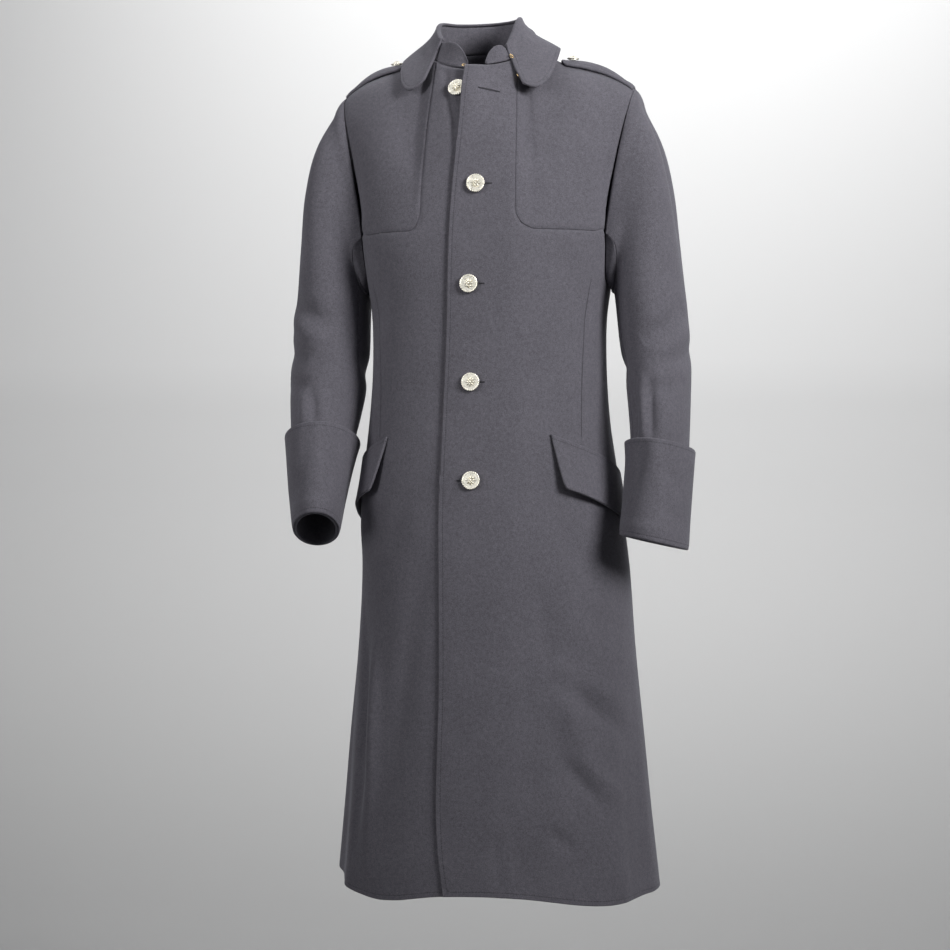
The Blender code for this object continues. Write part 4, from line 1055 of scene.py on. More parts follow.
def sleeve_net(strip, side):
    """A sleeve's points as a closed net, with one more row beyond each end."""
    around = len(strip.armhole(side)[0])
    rows = [[strip.points[key] for key in strip.armhole_keys[side]]]
    for row in range(1, CAP_ROWS + ARM_ROWS + 1):
        rows.append([strip.points[("sleeve", side, row, place)] for place in range(around)])
    net = np.array([[tuple(point) for point in row] for row in rows]).transpose(1, 0, 2)
    net = np.concatenate([net[-1:], net, net[:2]])
    first, last = 2 * net[:, :1] - net[:, 1:2], 2 * net[:, -1:] - net[:, -2:-1]
    return np.concatenate([first, net, last], axis=1)


def make_sleeve(body, strip, side, material):
    """A two-piece sleeve: a full head set into the armhole, soft breaks at the elbow, two long seams."""
    net = sleeve_net(strip, side)
    around = net.shape[0] - 3
    widths = np.linalg.norm(np.diff(net[1:-1], axis=0), axis=2).max(axis=1)
    heights = np.linalg.norm(np.diff(net, axis=1), axis=2).max(axis=0)[1:-1]
    notches = (HIGH_ROWS, around - HIGH_ROWS)
    places = stops_along(widths, notches, SLEEVE_STEP)
    rows = stops_along(heights, [0], SLEEVE_STEP)
    place, row = np.meshgrid(places, rows, indexing="ij")
    grid = surface(net, place + 1, row + 1)
    armhole = armhole_points(body, side, places, around)
    settle = smooth(1 - row / 2)
    grid = grid + (armhole - grid[:, 0])[:, None] * settle[..., None]
    quads = grid_quads(len(places), len(rows), outward=side == RIGHT)
    normals = closed_normals(grid, quads)
    relief = np.zeros(place.shape)
    reach = row * heights[0]
    relief -= groove(reach, HEAD_SEAM)
    head = smooth(1 - abs(((place + around / 2) % around) - around / 2) / HEAD_COLUMNS)
    relief += HEAD_FULLNESS * head * np.exp(-((reach - HEAD_PLACE) / HEAD_SPREAD) ** 2)
    for notch in notches:
        shown = smooth((reach - SEAM_HIDDEN) / SEAM_SHOWN)
        relief -= groove(abs(place - notch) * widths[notch], SLEEVE_SEAM) * shown
    for notch, way in ((notches[0], 1), (notches[1], -1)):
        within = ((place - notch) * way - 0.9) / 1.0
        relief += UNDERARM_FULLNESS * np.exp(-within ** 2 - ((row - 2.4) / 1.5) ** 2)
    for crease in SLEEVE_CREASES[side]:
        relief += arm_crease(grid, side, crease)
    grid = grid + normals * relief[..., None]
    normals = closed_normals(grid, quads)
    marks = plain_marks(place.size)
    middle = (places[1:] + places[:-1]) / 2
    under = np.broadcast_to(((middle > notches[0]) & (middle < notches[1]))[:, None],
                            (len(places) - 1, len(rows) - 1))
    made = []
    for part, mask in (("top", ~under), ("under", under)):
        name = "sleeve_%s_%s_cloth" % (SIDE_NAME[side], part)
        quads = grid_quads(len(places), len(rows), mask, side == RIGHT)
        quads = joined_round(quads, len(places), len(rows))
        made.append(cloth_wall(name, grid.reshape(-1, 3), quads, CLOTH, normals.reshape(-1, 3),
                               np.zeros(place.size), marks, material))
    return made


def joined_round(quads, wide, high):
    """Gives a tube's last column the numbers of its first one."""
    last = (wide - 1) * high
    return np.where(quads >= last, quads - last, quads)


def closed_normals(grid, quads):
    """The directions of a tube whose last column is its first."""
    wide, high = grid.shape[:2]
    normals = normals_of(grid.reshape(-1, 3), joined_round(quads, wide, high)).reshape(grid.shape)
    normals[-1] = normals[0]
    return normals


def armhole_points(body, side, places, around):
    """The body's armhole edge at each of the sleeve's columns."""
    top = LOW_ROWS + HIGH_ROWS
    made = []
    for place in places:
        if place <= HIGH_ROWS:
            across, up = body.front_armhole, top - place
        elif place < around - HIGH_ROWS:
            across, up = body.front_armhole - (place - HIGH_ROWS), LOW_ROWS
        else:
            across, up = body.back_armhole, LOW_ROWS + place - (around - HIGH_ROWS)
        made.append(body.at(np.array(side * across, float), np.array(up, float)))
    return np.array(made)


def arm_crease(points, side, crease):
    """A crease of a sleeve. Its line holds angles and shares of the sleeve's length."""
    line = [np.array(arm_point(side, share, angle, 0.0)) for angle, share in crease.line]
    return crease_relief(points, crease, line)


def plain_marks(count):
    """The marks of cloth with no stitched edge and no dart."""
    return {"edge_away": np.full(count, NO_EDGE), "edge_along": np.zeros(count),
            "seam_away": np.full(count, NO_EDGE)}


# Pieces that are laid on the body or turned over it
def laid_cloth(name, grid, quads, roll, marks, material, thickness=DOUBLE_CLOTH, directions=None):
    """A pressed piece from a grid of points of its outer face."""
    points = grid.reshape(-1, 3)
    normals = normals_of(points, quads) if directions is None else directions.reshape(-1, 3)
    full = plain_marks(len(points))
    full.update({label: values.ravel() for label, values in marks.items()})
    return cloth_wall(name, points, quads, thickness, normals, np.full(len(points), roll), full, material)


def edge_marks(grid, edges):
    """How far each point of a grid is from the named edges of its piece, and how far along them."""
    wide, high = grid.shape[:2]
    across = np.linalg.norm(np.diff(grid, axis=0), axis=2)
    up = np.linalg.norm(np.diff(grid, axis=1), axis=2)
    column_gone = np.concatenate([np.zeros((1, high)), np.cumsum(across, axis=0)])
    row_gone = np.concatenate([np.zeros((wide, 1)), np.cumsum(up, axis=1)], axis=1)
    away = np.full((wide, high), NO_EDGE)
    along = np.zeros((wide, high))
    for edge in edges:
        if edge == "first_column":
            near, run = column_gone, row_gone
        elif edge == "last_column":
            near, run = column_gone[-1:] - column_gone, row_gone
        elif edge == "first_row":
            near, run = row_gone, column_gone
        else:
            near, run = row_gone[:, -1:] - row_gone, column_gone
        along = np.where(near < away, run, along)
        away = np.minimum(away, near)
    return {"edge_away": away, "edge_along": along}


def make_cuff(side, material):
    """A deep turned-back cuff: rolled at the wrist, with its upper edge standing off the sleeve."""
    columns, rows = 104, 44
    grid = np.empty((columns + 1, rows, 3))
    for row in range(rows):
        rise = row / (rows - 1)
        share = 1.0 + (CUFF_SHARE - 1.0) * rise
        wrist = exp(-(rise / 0.035) ** 2)
        for column in range(columns + 1):
            angle = 360 * (column % columns) / columns
            wave = 0.0010 * sin(radians(2 * angle + 40)) * rise
            for dent in CUFF_DENTS[side]:
                turned = wrap(angle - dent.angle - dent.slant * (rise - dent.rise)) / dent.wide
                wave += dent.depth * exp(-turned ** 2 - ((rise - dent.rise) / dent.tall) ** 2)
            outset = LAID_GAP + DOUBLE_CLOTH + CUFF_STAND * rise ** 1.5 + wave - 0.0008 * wrist
            grid[column, row] = arm_point(side, share, angle, outset)
    marks = edge_marks(grid, ("first_row", "last_row"))
    quads = joined_round(grid_quads(columns + 1, rows, outward=side == LEFT), columns + 1, rows)
    return laid_cloth("cuff_%s_cloth" % SIDE_NAME[side], grid, quads, FREE_ROLL, marks, material)


class Ground:
    """The finished outer faces that other pieces are laid on."""

    def __init__(self, body, cells):
        quads = grid_quads(len(body.columns), len(body.rows), cells)
        self.tree = BVHTree.FromPolygons(body.grid.reshape(-1, 3).tolist(), quads.tolist())

    def clear(self, point, distance):
        """The point, or where it is moved to so that it stands off the cloth."""
        place, normal, _, _ = self.tree.find_nearest(point)
        height = (point - place).dot(normal)
        return point + normal * (distance - height) if height < distance else point

    def below(self, x, y):
        """The cloth under a point. Past the armhole's edge it is taken from a little further in."""
        for inward in range(12):
            hit = self.tree.ray_cast(Vector((x * (1 - 0.006 * inward), y, 0.3)), Vector((0, 0, -1)))[0]
            if hit is not None and hit.z > SHOULDER_TIP.z - 0.03:
                return Vector((x, y, hit.z))
        return Vector((x, y, SHOULDER_TIP.z))

    def ahead(self, x, z):
        """Where the cloth is met from straight ahead, and its direction there."""
        hit, normal, _, _ = self.tree.ray_cast(Vector((x, -1, z)), Vector((0, 1, 0)))
        return hit, normal if normal.y < 0 else -normal


def neck_curve(body):
    """The body's real neck edge as tables of angle and place, from the right front round to the left."""
    known = []
    for column, across in enumerate(body.columns):
        if abs(across) >= body.half - 6 or abs(across) <= 3:
            x, y, z = body.grid[column, -1]
            angle = degrees(np.arctan2((x - NECK_X) / NECK_HALF_WIDTH,
                                       (y - NECK_Y) / (NECK_BACK if y > NECK_Y else NECK_FRONT)))
            if across > 0 and angle < -90:
                angle += 360
            if across < 0 and angle > 90:
                angle -= 360
            known.append((angle, x, y, z))
    known = np.array(sorted(known))
    return known[:, 0], known[:, 1:]


def collar_section(neck, angle):
    """The foot and the top of the stand at an angle, and its outward direction."""
    angles, places = neck
    base = Vector([float(np.interp(angle, angles, places[:, axis])) for axis in range(3)])
    base += Vector((0, 0, STAND_RISE))
    top = collar_point(row_at(STAND_TOP, angle))
    outward = Vector((sin(radians(angle)), cos(radians(angle)), 0))
    rise = (top - base).normalized()
    return base, top, (outward - rise * outward.dot(rise)).normalized()


def make_collar_stand(neck, material):
    """The band that stands round the neck, with rounded front ends."""
    columns, rows = 150, 12
    start, end = STAND_TOP[0].angle, STAND_TOP[-1].angle
    grid = np.empty((columns, rows, 3))
    directions = np.empty((columns, rows, 3))
    for column in range(columns):
        angle = start + (end - start) * column / (columns - 1)
        base, top, aside = collar_section(neck, angle)
        for row in range(rows):
            share = row / (rows - 1)
            grid[column, row] = base.lerp(top, share) - aside * 0.0010 * sin(pi * share)
            directions[column, row] = aside
    quads = grid_quads(columns, rows)
    marks = edge_marks(grid, ("first_column", "last_column", "last_row"))
    return laid_cloth("collar_stand_cloth", grid, quads, STAND_ROLL, marks, material, CLOTH, directions)


def make_collar_fall(neck, ground, material):
    """The fall rolls over the stand's top and lies on the shoulders, ending in two rounded leaves."""
    columns, roll_rows, fall_rows = 150, 7, 26
    rows = roll_rows + fall_rows
    outer = np.empty((columns, rows, 3))
    for column in range(columns):
        share = column / (columns - 1)
        edge_angle = LEAF_EDGE[0].angle + (LEAF_EDGE[-1].angle - LEAF_EDGE[0].angle) * share
        fold_angle = LEAF_FOLD_ANGLES[0] + (LEAF_FOLD_ANGLES[1] - LEAF_FOLD_ANGLES[0]) * share
        top = collar_section(neck, fold_angle)[1]
        aside = Vector((sin(radians(fold_angle)), cos(radians(fold_angle)), 0))
        rise = Vector((0, 0, 1))
        top = top + rise * LAID_GAP
        centre = top - aside * (CLOTH * 0.4)
        radius = DOUBLE_CLOTH + 0.0009
        for row in range(roll_rows):
            turn = radians(160 - 160 * row / (roll_rows - 1))
            outer[column, row] = (centre + aside * (radius * cos(turn) + CLOTH * 0.2)
                                  + rise * radius * sin(turn))
        shoulder = Vector(outer[column, roll_rows - 1])
        edge = ground.clear(collar_point(row_at(LEAF_EDGE, edge_angle)), FALL_CLEAR)
        reach = (edge - shoulder).length
        leave = (aside * 0.35 - rise * 0.9).normalized() * reach
        arrive = (edge - shoulder).normalized() * reach
        for row in range(1, fall_rows + 1):
            outer[column, roll_rows - 1 + row] = hermite(shoulder, leave, edge, arrive, row / fall_rows)
    lower = slice(roll_rows + 5, rows)
    for _ in range(3):
        for column in range(columns):
            for row in range(roll_rows + 6, rows):
                outer[column, row] = ground.clear(Vector(outer[column, row]), FALL_CLEAR)
        for _ in range(3):
            outer[1:-1, lower] = (outer[:-2, lower] + 2 * outer[1:-1, lower] + outer[2:, lower]) / 4
            outer[:, roll_rows:-1] = (outer[:, roll_rows - 1:-2] + 2 * outer[:, roll_rows:-1]
                                      + outer[:, roll_rows + 1:]) / 4
    quads = grid_quads(columns, rows, outward=False)
    marks = edge_marks(outer, ("first_column", "last_column", "last_row"))
    return laid_cloth("collar_fall_cloth", outer, quads, FALL_ROLL, marks, material)


def make_strap(ground, side, material):
    """A shoulder strap: nosed at the neck, bowed between its ends, buttoned near the collar."""
    lengths, widths = 60, 22
    grid = np.empty((lengths, widths, 3))
    for step in range(lengths):
        share = step / (lengths - 1)
        along = STRAP_LENGTH_SHARE[0] + (STRAP_LENGTH_SHARE[1] - STRAP_LENGTH_SHARE[0]) * share
        ridge = shoulder_seam(side, along)
        nose = min(1.0, share / 0.09)
        half_width = STRAP_HALF_WIDTH * sqrt(1 - (1 - nose) ** 2 * 0.85)
        bow = STRAP_BOW * sin(pi * min(1.0, share * 1.15)) if share < 0.87 else 0.0
        for place in range(widths):
            across = 2 * place / (widths - 1) - 1
            hit = ground.below(ridge.x, ridge.y + half_width * across)
            lift = bow * (1 - 0.92 * across ** 2)
            grid[step, place] = hit + Vector((0, 0, 2 * LAID_GAP + DOUBLE_CLOTH + lift))
    grid[1:-1] = (grid[:-2] + 2 * grid[1:-1] + grid[2:]) / 4
    marks = edge_marks(grid, ("first_column", "first_row", "last_row"))
    quads = grid_quads(lengths, widths, outward=side == RIGHT)
    return laid_cloth("strap_%s_cloth" % SIDE_NAME[side], grid, quads, FREE_ROLL, marks, material)


def walk(turn, height, along, down):
    """The turn and height after a way along and down the coat's face."""
    steps = 12
    for _ in range(steps):
        height -= down / steps
        slope = (torso(turn + 0.5, height) - torso(turn - 0.5, height)).length
        turn += along / steps / slope
    return turn, height


def make_flap(ground, side, material):
    """A slanted pocket flap: sewn along its top, its lower edge standing off the coat."""
    start = FLAPS[side]
    columns, rows = 56, 28
    grid = np.empty((columns, rows, 3))
    slant, lean = radians(FLAP_SLANT), radians(start.edge_lean)
    for column in range(columns):
        across_share = column / (columns - 1)
        for row in range(rows):
            down_share = row / (rows - 1)
            corner = (1 - min(1.0, across_share / 0.05)) ** 2
            across = FLAP_LENGTH * across_share + 0.003 * corner * down_share ** 12
            below = FLAP_DEPTH * down_share * (1 - 0.020 * corner * down_share ** 6)
            along = across * cos(slant) + below * sin(lean) * (1 - across_share)
            down = across * sin(slant) + below * cos(lean)
            turn, height = walk(start.turn, start.height, side * along, down)
            stand = FLAP_STAND * (1 - 0.8 * ease(2.2 * across_share - 0.3))
            outset = LAID_GAP + DOUBLE_CLOTH + stand * down_share ** 1.3
            place = torso(turn, height) + facing(turn, height) * outset
            grid[column, rows - 1 - row] = ground.clear(place, LAID_GAP + DOUBLE_CLOTH)
    marks = edge_marks(grid, ("last_row",))
    quads = grid_quads(columns, rows, outward=side == RIGHT)
    return laid_cloth("flap_%s_cloth" % SIDE_NAME[side], grid, quads, FLAP_ROLL, marks, material)


# Buttons, buttonholes and wire fastenings
def only(item):
    """Selects one object and makes it the one that operators work on."""
    bpy.ops.object.select_all(action="DESELECT")
    item.select_set(True)
    bpy.context.view_layer.objects.active = item


def select_faces(item, wanted):
    """Selects the faces that a test picks out."""
    shape = bmesh.from_edit_mesh(item.data)
    for face in shape.faces:
        face.select_set(wanted(face))
    shape.select_flush_mode()
    bmesh.update_edit_mesh(item.data)


def model_button():
    """One domed button: a raised dome within a plain channel and a rope rim, on a low shank."""
    bpy.ops.object.select_all(action="DESELECT")
    bpy.ops.mesh.primitive_cylinder_add(vertices=64, radius=0.84, depth=0.30, location=(0, 0, 0.20))
    cap = bpy.context.object
    only(cap)
    bpy.ops.object.mode_set(mode="EDIT")
    bpy.ops.mesh.select_all(action="DESELECT")
    select_faces(cap, lambda face: face.normal.z > 0.9)
    for thickness, lift in ((0.05, 0.010), (0.04, -0.050), (0.03, 0.060), (0.08, 0.105), (0.12, 0.095),
                            (0.14, 0.060), (0.15, 0.034), (0.10, 0.008)):
        bpy.ops.mesh.inset(thickness=thickness)
        bpy.ops.transform.translate(value=(0, 0, lift))
    bpy.ops.mesh.select_all(action="DESELECT")
    select_faces(cap, lambda face: face.normal.z < -0.9)
    bpy.ops.mesh.inset(thickness=0.30)
    bpy.ops.mesh.inset(thickness=0.32)
    bpy.ops.transform.translate(value=(0, 0, -0.05))
    bpy.ops.object.mode_set(mode="OBJECT")
    bpy.ops.object.select_all(action="DESELECT")
    bpy.ops.mesh.primitive_torus_add(major_radius=0.88, minor_radius=0.105, major_segments=144,
                                     minor_segments=10, location=(0, 0, 0.28))
    rope = bpy.context.object
    for vertex in rope.data.vertices:
        x, y, z = vertex.co
        turn = np.arctan2(y, x)
        lean = np.arctan2(z, sqrt(x * x + y * y) - 0.88)
        swell = 1 + 0.22 * cos(26 * turn - 2.0 * lean)
        out = 0.88 + (sqrt(x * x + y * y) - 0.88) * swell
        vertex.co = (out * cos(turn), out * sin(turn), z * swell)
    bpy.ops.object.transform_apply(location=True, rotation=True, scale=True)
    only(cap)
    bpy.ops.object.transform_apply(location=True, rotation=True, scale=True)
    petals = []
    for number in range(8):
        bpy.ops.object.select_all(action="DESELECT")
        bpy.ops.mesh.primitive_uv_sphere_add(segments=14, ring_count=8, radius=1.0, location=(0, 0, 0))
        petal = bpy.context.object
        turn = radians(45 * number)
        petal.scale = (0.205, 0.082, 0.095)
        petal.rotation_euler = (0, 0.38, turn)
        petal.location = (0.34 * cos(turn), 0.34 * sin(turn), 0.615)
        bpy.ops.object.transform_apply(location=True, rotation=True, scale=True)
        petals.append(petal)
    bpy.ops.object.select_all(action="DESELECT")
    bpy.ops.mesh.primitive_uv_sphere_add(segments=20, ring_count=12, radius=1.0, location=(0, 0, 0))
    boss = bpy.context.object
    boss.scale = (0.13, 0.13, 0.11)
    boss.location = (0, 0, 0.66)
    bpy.ops.object.transform_apply(location=True, rotation=True, scale=True)
    bpy.ops.object.select_all(action="DESELECT")
    for item in (cap, rope, boss, *petals):
        item.select_set(True)
    bpy.context.view_layer.objects.active = cap
    ground_points = len(cap.data.vertices)
    bpy.ops.object.join()
    only(cap)
    bpy.ops.object.shade_smooth_by_angle(angle=radians(40))
    tarnish = cap.data.attributes.new("tarnish", "FLOAT", "POINT")
    for number in range(ground_points):
        x, y, z = cap.data.vertices[number].co
        dull = TARNISH_INNER < sqrt(x * x + y * y) < TARNISH_OUTER and z > TARNISH_LOW
        tarnish.data[number].value = 1.0 if dull else 0.0
    return cap


def set_button(pattern, name, radius, place, outward, material):
    """Copies the modelled button to its place, with the place in its mesh."""
    mesh = pattern.data.copy()
    mesh.name = name
    spin = outward.to_track_quat("Z", "Y").to_matrix().to_4x4()
    mesh.transform(Matrix.Translation(place + outward * BUTTON_LIFT) @ spin @ Matrix.Scale(radius, 4))
    mesh.materials.clear()
    mesh.materials.append(material)
    item = bpy.data.objects.new(name, mesh)
    bpy.context.scene.collection.objects.link(item)
    return item


def make_buttonhole(ground, name, x, height, slope, material):
    """A worked buttonhole: a long narrow ring of close stitches round a slit, lying on the front."""
    bpy.ops.object.select_all(action="DESELECT")
    bpy.ops.mesh.primitive_torus_add(major_radius=1.0, minor_radius=0.10, major_segments=160,
                                     minor_segments=8, location=(0, 0, 0))
    ring = bpy.context.object
    ring.name = name
    for vertex in ring.data.vertices:
        u, v, w = vertex.co
        turn = np.arctan2(v, u)
        out = sqrt(u * u + v * v) - 1.0
        thread = 1 + 0.22 * cos(80 * turn)
        straight = BUTTONHOLE_HALF * copysign(min(1.0, abs(cos(turn)) * 1.25), cos(turn))
        along = straight + 0.0008 * cos(turn) + out * STITCH_THICK * cos(turn)
        slit = 0.0007 * sin(turn) * min(1.0, 2.2 * abs(sin(turn)) ** 0.2)
        aside = slit + out * STITCH_THICK * sin(turn)
        hit, normal = ground.ahead(x + along, height + aside - slope * along)
        vertex.co = hit + normal * (BUTTON_LIFT + w * STITCH_HIGH * thread)
    only(ring)
    bpy.ops.object.transform_apply(location=True, rotation=True, scale=True)
    bpy.ops.object.shade_smooth()
    ring.data.materials.append(material)
    return ring


def make_hook(name, place, outward, spin, eye, material):
    """A bent wire hook, or its eye, sewn inside the neck."""
    bpy.ops.object.select_all(action="DESELECT")
    bpy.ops.mesh.primitive_torus_add(major_radius=EYE_RADIUS if eye else HOOK_RADIUS,
                                     minor_radius=WIRE_RADIUS, major_segments=28, minor_segments=10,
                                     location=(0, 0, 0))
    wire = bpy.context.object
    wire.name = name
    for vertex in wire.data.vertices:
        u, v, w = vertex.co
        vertex.co = (u * 0.8, v * (1.7 if v > 0 else 1.0), w)
    face = outward.to_track_quat("Z", "Y").to_matrix().to_4x4()
    wire.data.transform(Matrix.Translation(place) @ face @ Matrix.Rotation(radians(spin), 4, "Z"))
    only(wire)
    bpy.ops.object.shade_smooth()
    wire.data.materials.append(material)
    return wire


# Materials
def group_of(name, inputs, outputs):
    """A new shader group with named sockets, and its two end nodes."""
    group = bpy.data.node_groups.new(name, "ShaderNodeTree")
    for label, kind, value in inputs:
        socket = group.interface.new_socket(name=label, in_out="INPUT", socket_type=kind)
        socket.default_value = value
    for label, kind in outputs:
        group.interface.new_socket(name=label, in_out="OUTPUT", socket_type=kind)
    return group, group.nodes.new("NodeGroupInput"), group.nodes.new("NodeGroupOutput")


def noise(group, coordinates, scale, detail, roughness):
    """The grey value of a noise pattern."""
    node = group.nodes.new("ShaderNodeTexNoise")
    node.inputs["Scale"].default_value = scale
    node.inputs["Detail"].default_value = detail
    node.inputs["Roughness"].default_value = roughness
    group.links.new(coordinates, node.inputs["Vector"])
    return node.outputs["Fac"]


def spread(group, value, low, high, start, end):
    """Maps a value from one span to another, held at both ends."""
    node = group.nodes.new("ShaderNodeMapRange")
    for label, number in zip(("From Min", "From Max", "To Min", "To Max"), (low, high, start, end)):
        node.inputs[label].default_value = number
    group.links.new(value, node.inputs["Value"])
    return node.outputs["Result"]


def reckon(group, kind, one, other):
    """One step of arithmetic on two values or sockets."""
    node = group.nodes.new("ShaderNodeMath")
    node.operation = kind
    for value, socket in ((one, node.inputs[0]), (other, node.inputs[1])):
        if isinstance(value, (int, float)):
            socket.default_value = value
        else:
            group.links.new(value, socket)
    return node.outputs[0]


def mark(group, label):
    """A value that the mesh's points carry."""
    node = group.nodes.new("ShaderNodeAttribute")
    node.attribute_name = label
    return node.outputs["Fac"]


def make_melton_group():
    """The nap of melton wool: fulled fibres, pale hairs, soft clouding, and pressed rows of stitches and
    darts, with painted shade darkening their dents.
    """
    group, start, end = group_of(
        "melton_nap",
        [("Cloth Colour", "NodeSocketColor", (0.1, 0.1, 0.1, 1)),
         ("Stitch From Edge", "NodeSocketFloat", STITCH_FROM_EDGE), ("Stitched", "NodeSocketFloat", 1.0)],
        [("Colour", "NodeSocketColor"), ("Height", "NodeSocketFloat")])
    place = group.nodes.new("ShaderNodeTexCoord").outputs["Object"]
    fibre = noise(group, place, 780, 3, 0.65)
    felt = noise(group, place, 210, 3, 0.55)
    cloud = noise(group, place, 16, 3, 0.5)
    hairs = noise(group, place, 1500, 1, 0.5)
    tone = reckon(group, "MULTIPLY", spread(group, fibre, 0.30, 0.70, 0.72, 1.30),
                  spread(group, felt, 0.30, 0.70, 0.88, 1.12))
    tone = reckon(group, "MULTIPLY", tone, spread(group, cloud, 0.30, 0.70, 0.95, 1.05))
    tone = reckon(group, "ADD", tone, spread(group, hairs, 0.66, 0.80, 0.0, 0.55))
    # Painted shade: the stitched rows, their holes and the dart lines are darkened in the colour, as the
    # shade in their pressed dents
    away = reckon(group, "SUBTRACT", mark(group, "edge_away"), start.outputs["Stitch From Edge"])
    line = spread(group, reckon(group, "ABSOLUTE", away, 0), 0.0003, 0.0011, 1.0, 0.0)
    line = reckon(group, "MULTIPLY", line, start.outputs["Stitched"])
    step = reckon(group, "FRACT", reckon(group, "MULTIPLY", mark(group, "edge_along"), 1 / STITCH_LENGTH), 0)
    hole = reckon(group, "MULTIPLY", line,
                  spread(group, reckon(group, "ABSOLUTE", reckon(group, "SUBTRACT", step, 0.5), 0),
                         0.30, 0.46, 0.35, 1.0))
    seam = spread(group, reckon(group, "ABSOLUTE", mark(group, "seam_away"), 0), 0.0003, 0.0013, 1.0, 0.0)
    # painted shade of the stitch holes and dart lines, down to 0.55 of the cloth's tone
    dark = reckon(group, "MULTIPLY", spread(group, hole, 0.0, 1.0, 1.0, 0.55),
                  spread(group, seam, 0.0, 1.0, 1.0, 0.55))
    tone = reckon(group, "MULTIPLY", tone, dark)
    scaled = group.nodes.new("ShaderNodeVectorMath")
    scaled.operation = "SCALE"
    group.links.new(start.outputs["Cloth Colour"], scaled.inputs[0])
    group.links.new(tone, scaled.inputs["Scale"])
    group.links.new(scaled.outputs[0], end.inputs["Colour"])
    height = reckon(group, "ADD", reckon(group, "MULTIPLY", fibre, 0.00028),
                    reckon(group, "MULTIPLY", felt, 0.00045))
    height = reckon(group, "SUBTRACT", height, reckon(group, "MULTIPLY", hole, 0.0006))
    height = reckon(group, "SUBTRACT", height, reckon(group, "MULTIPLY", seam, 0.0008))
    group.links.new(height, end.inputs["Height"])
    return group


def melton(group, name, colour, stitched):
    """Melton wool: matt, with the pale bloom of its nap at grazing angles."""
    material = bpy.data.materials.new(name)
    material.use_nodes = True
    tree = material.node_tree
    shader = tree.nodes["Principled BSDF"]
    nap = tree.nodes.new("ShaderNodeGroup")
    nap.node_tree = group
    nap.inputs["Cloth Colour"].default_value = (*colour, 1)
    nap.inputs["Stitch From Edge"].default_value = STITCH_FROM_EDGE
    nap.inputs["Stitched"].default_value = stitched
    bump = tree.nodes.new("ShaderNodeBump")
    bump.inputs["Strength"].default_value = 0.7
    bump.inputs["Distance"].default_value = 1.0
    tree.links.new(nap.outputs["Height"], bump.inputs["Height"])
    tree.links.new(bump.outputs["Normal"], shader.inputs["Normal"])
    tree.links.new(nap.outputs["Colour"], shader.inputs["Base Color"])
    shader.inputs["Roughness"].default_value = 0.92
    shader.inputs["Specular IOR Level"].default_value = 0.25
    shader.inputs["Sheen Weight"].default_value = 0.22
    shader.inputs["Sheen Roughness"].default_value = 0.45
    shader.inputs["Sheen Tint"].default_value = (0.80, 0.80, 0.88, 1)
    return material


def make_smudge_group():
    """Faint smudges and fine rubbing on polished metal."""
    group, start, end = group_of("rubbed_metal",
                                 [("Metal Colour", "NodeSocketColor", (0.8, 0.8, 0.8, 1)),
                                  ("Shine", "NodeSocketFloat", 0.2)],
                                 [("Colour", "NodeSocketColor"), ("Roughness", "NodeSocketFloat"),
                                  ("Height", "NodeSocketFloat")])
    place = group.nodes.new("ShaderNodeTexCoord").outputs["Object"]
    smudge = noise(group, place, 220, 3, 0.6)
    rub = noise(group, place, 2600, 2, 0.5)
    scaled = group.nodes.new("ShaderNodeVectorMath")
    scaled.operation = "SCALE"
    group.links.new(start.outputs["Metal Colour"], scaled.inputs[0])
    bright = reckon(group, "MULTIPLY", spread(group, smudge, 0.3, 0.7, 0.82, 1.06),
                    spread(group, mark(group, "tarnish"), 0.0, 1.0, 1.0, TARNISH_SHADE))
    group.links.new(bright, scaled.inputs["Scale"])
    group.links.new(scaled.outputs[0], end.inputs["Colour"])
    rough = reckon(group, "MULTIPLY", start.outputs["Shine"], spread(group, smudge, 0.3, 0.7, 0.75, 1.5))
    group.links.new(rough, end.inputs["Roughness"])
    group.links.new(reckon(group, "MULTIPLY", rub, 0.00002), end.inputs["Height"])
    return group


def metal(group, name, colour, shine):
    """Bare metal, lightly rubbed."""
    material = bpy.data.materials.new(name)
    material.use_nodes = True
    tree = material.node_tree
    shader = tree.nodes["Principled BSDF"]
    rubbed = tree.nodes.new("ShaderNodeGroup")
    rubbed.node_tree = group
    rubbed.inputs["Metal Colour"].default_value = (*colour, 1)
    rubbed.inputs["Shine"].default_value = shine
    bump = tree.nodes.new("ShaderNodeBump")
    bump.inputs["Strength"].default_value = 0.5
    bump.inputs["Distance"].default_value = 1.0
    tree.links.new(rubbed.outputs["Height"], bump.inputs["Height"])
    tree.links.new(bump.outputs["Normal"], shader.inputs["Normal"])
    tree.links.new(rubbed.outputs["Colour"], shader.inputs["Base Color"])
    tree.links.new(rubbed.outputs["Roughness"], shader.inputs["Roughness"])
    shader.inputs["Metallic"].default_value = 1.0
    return material


def paper_with_painted_falloff(name):
    """Pale paper with painted shade: its colour darkens toward the floor, for the light falling off downward.
    """
    material = bpy.data.materials.new(name)
    material.use_nodes = True
    tree = material.node_tree
    shader = tree.nodes["Principled BSDF"]
    parts = tree.nodes.new("ShaderNodeSeparateXYZ")
    tree.links.new(tree.nodes.new("ShaderNodeTexCoord").outputs["Object"], parts.inputs[0])
    # Painted shade: the grey runs from 0.30 at the floor to 0.74 higher up, for the light falling off
    # downward
    grey = spread(tree, parts.outputs["Z"], FLOOR_HEIGHT, -0.3, 0.30, 0.74)
    tree.links.new(grey, shader.inputs["Base Color"])
    shader.inputs["Roughness"].default_value = 0.9
    return material


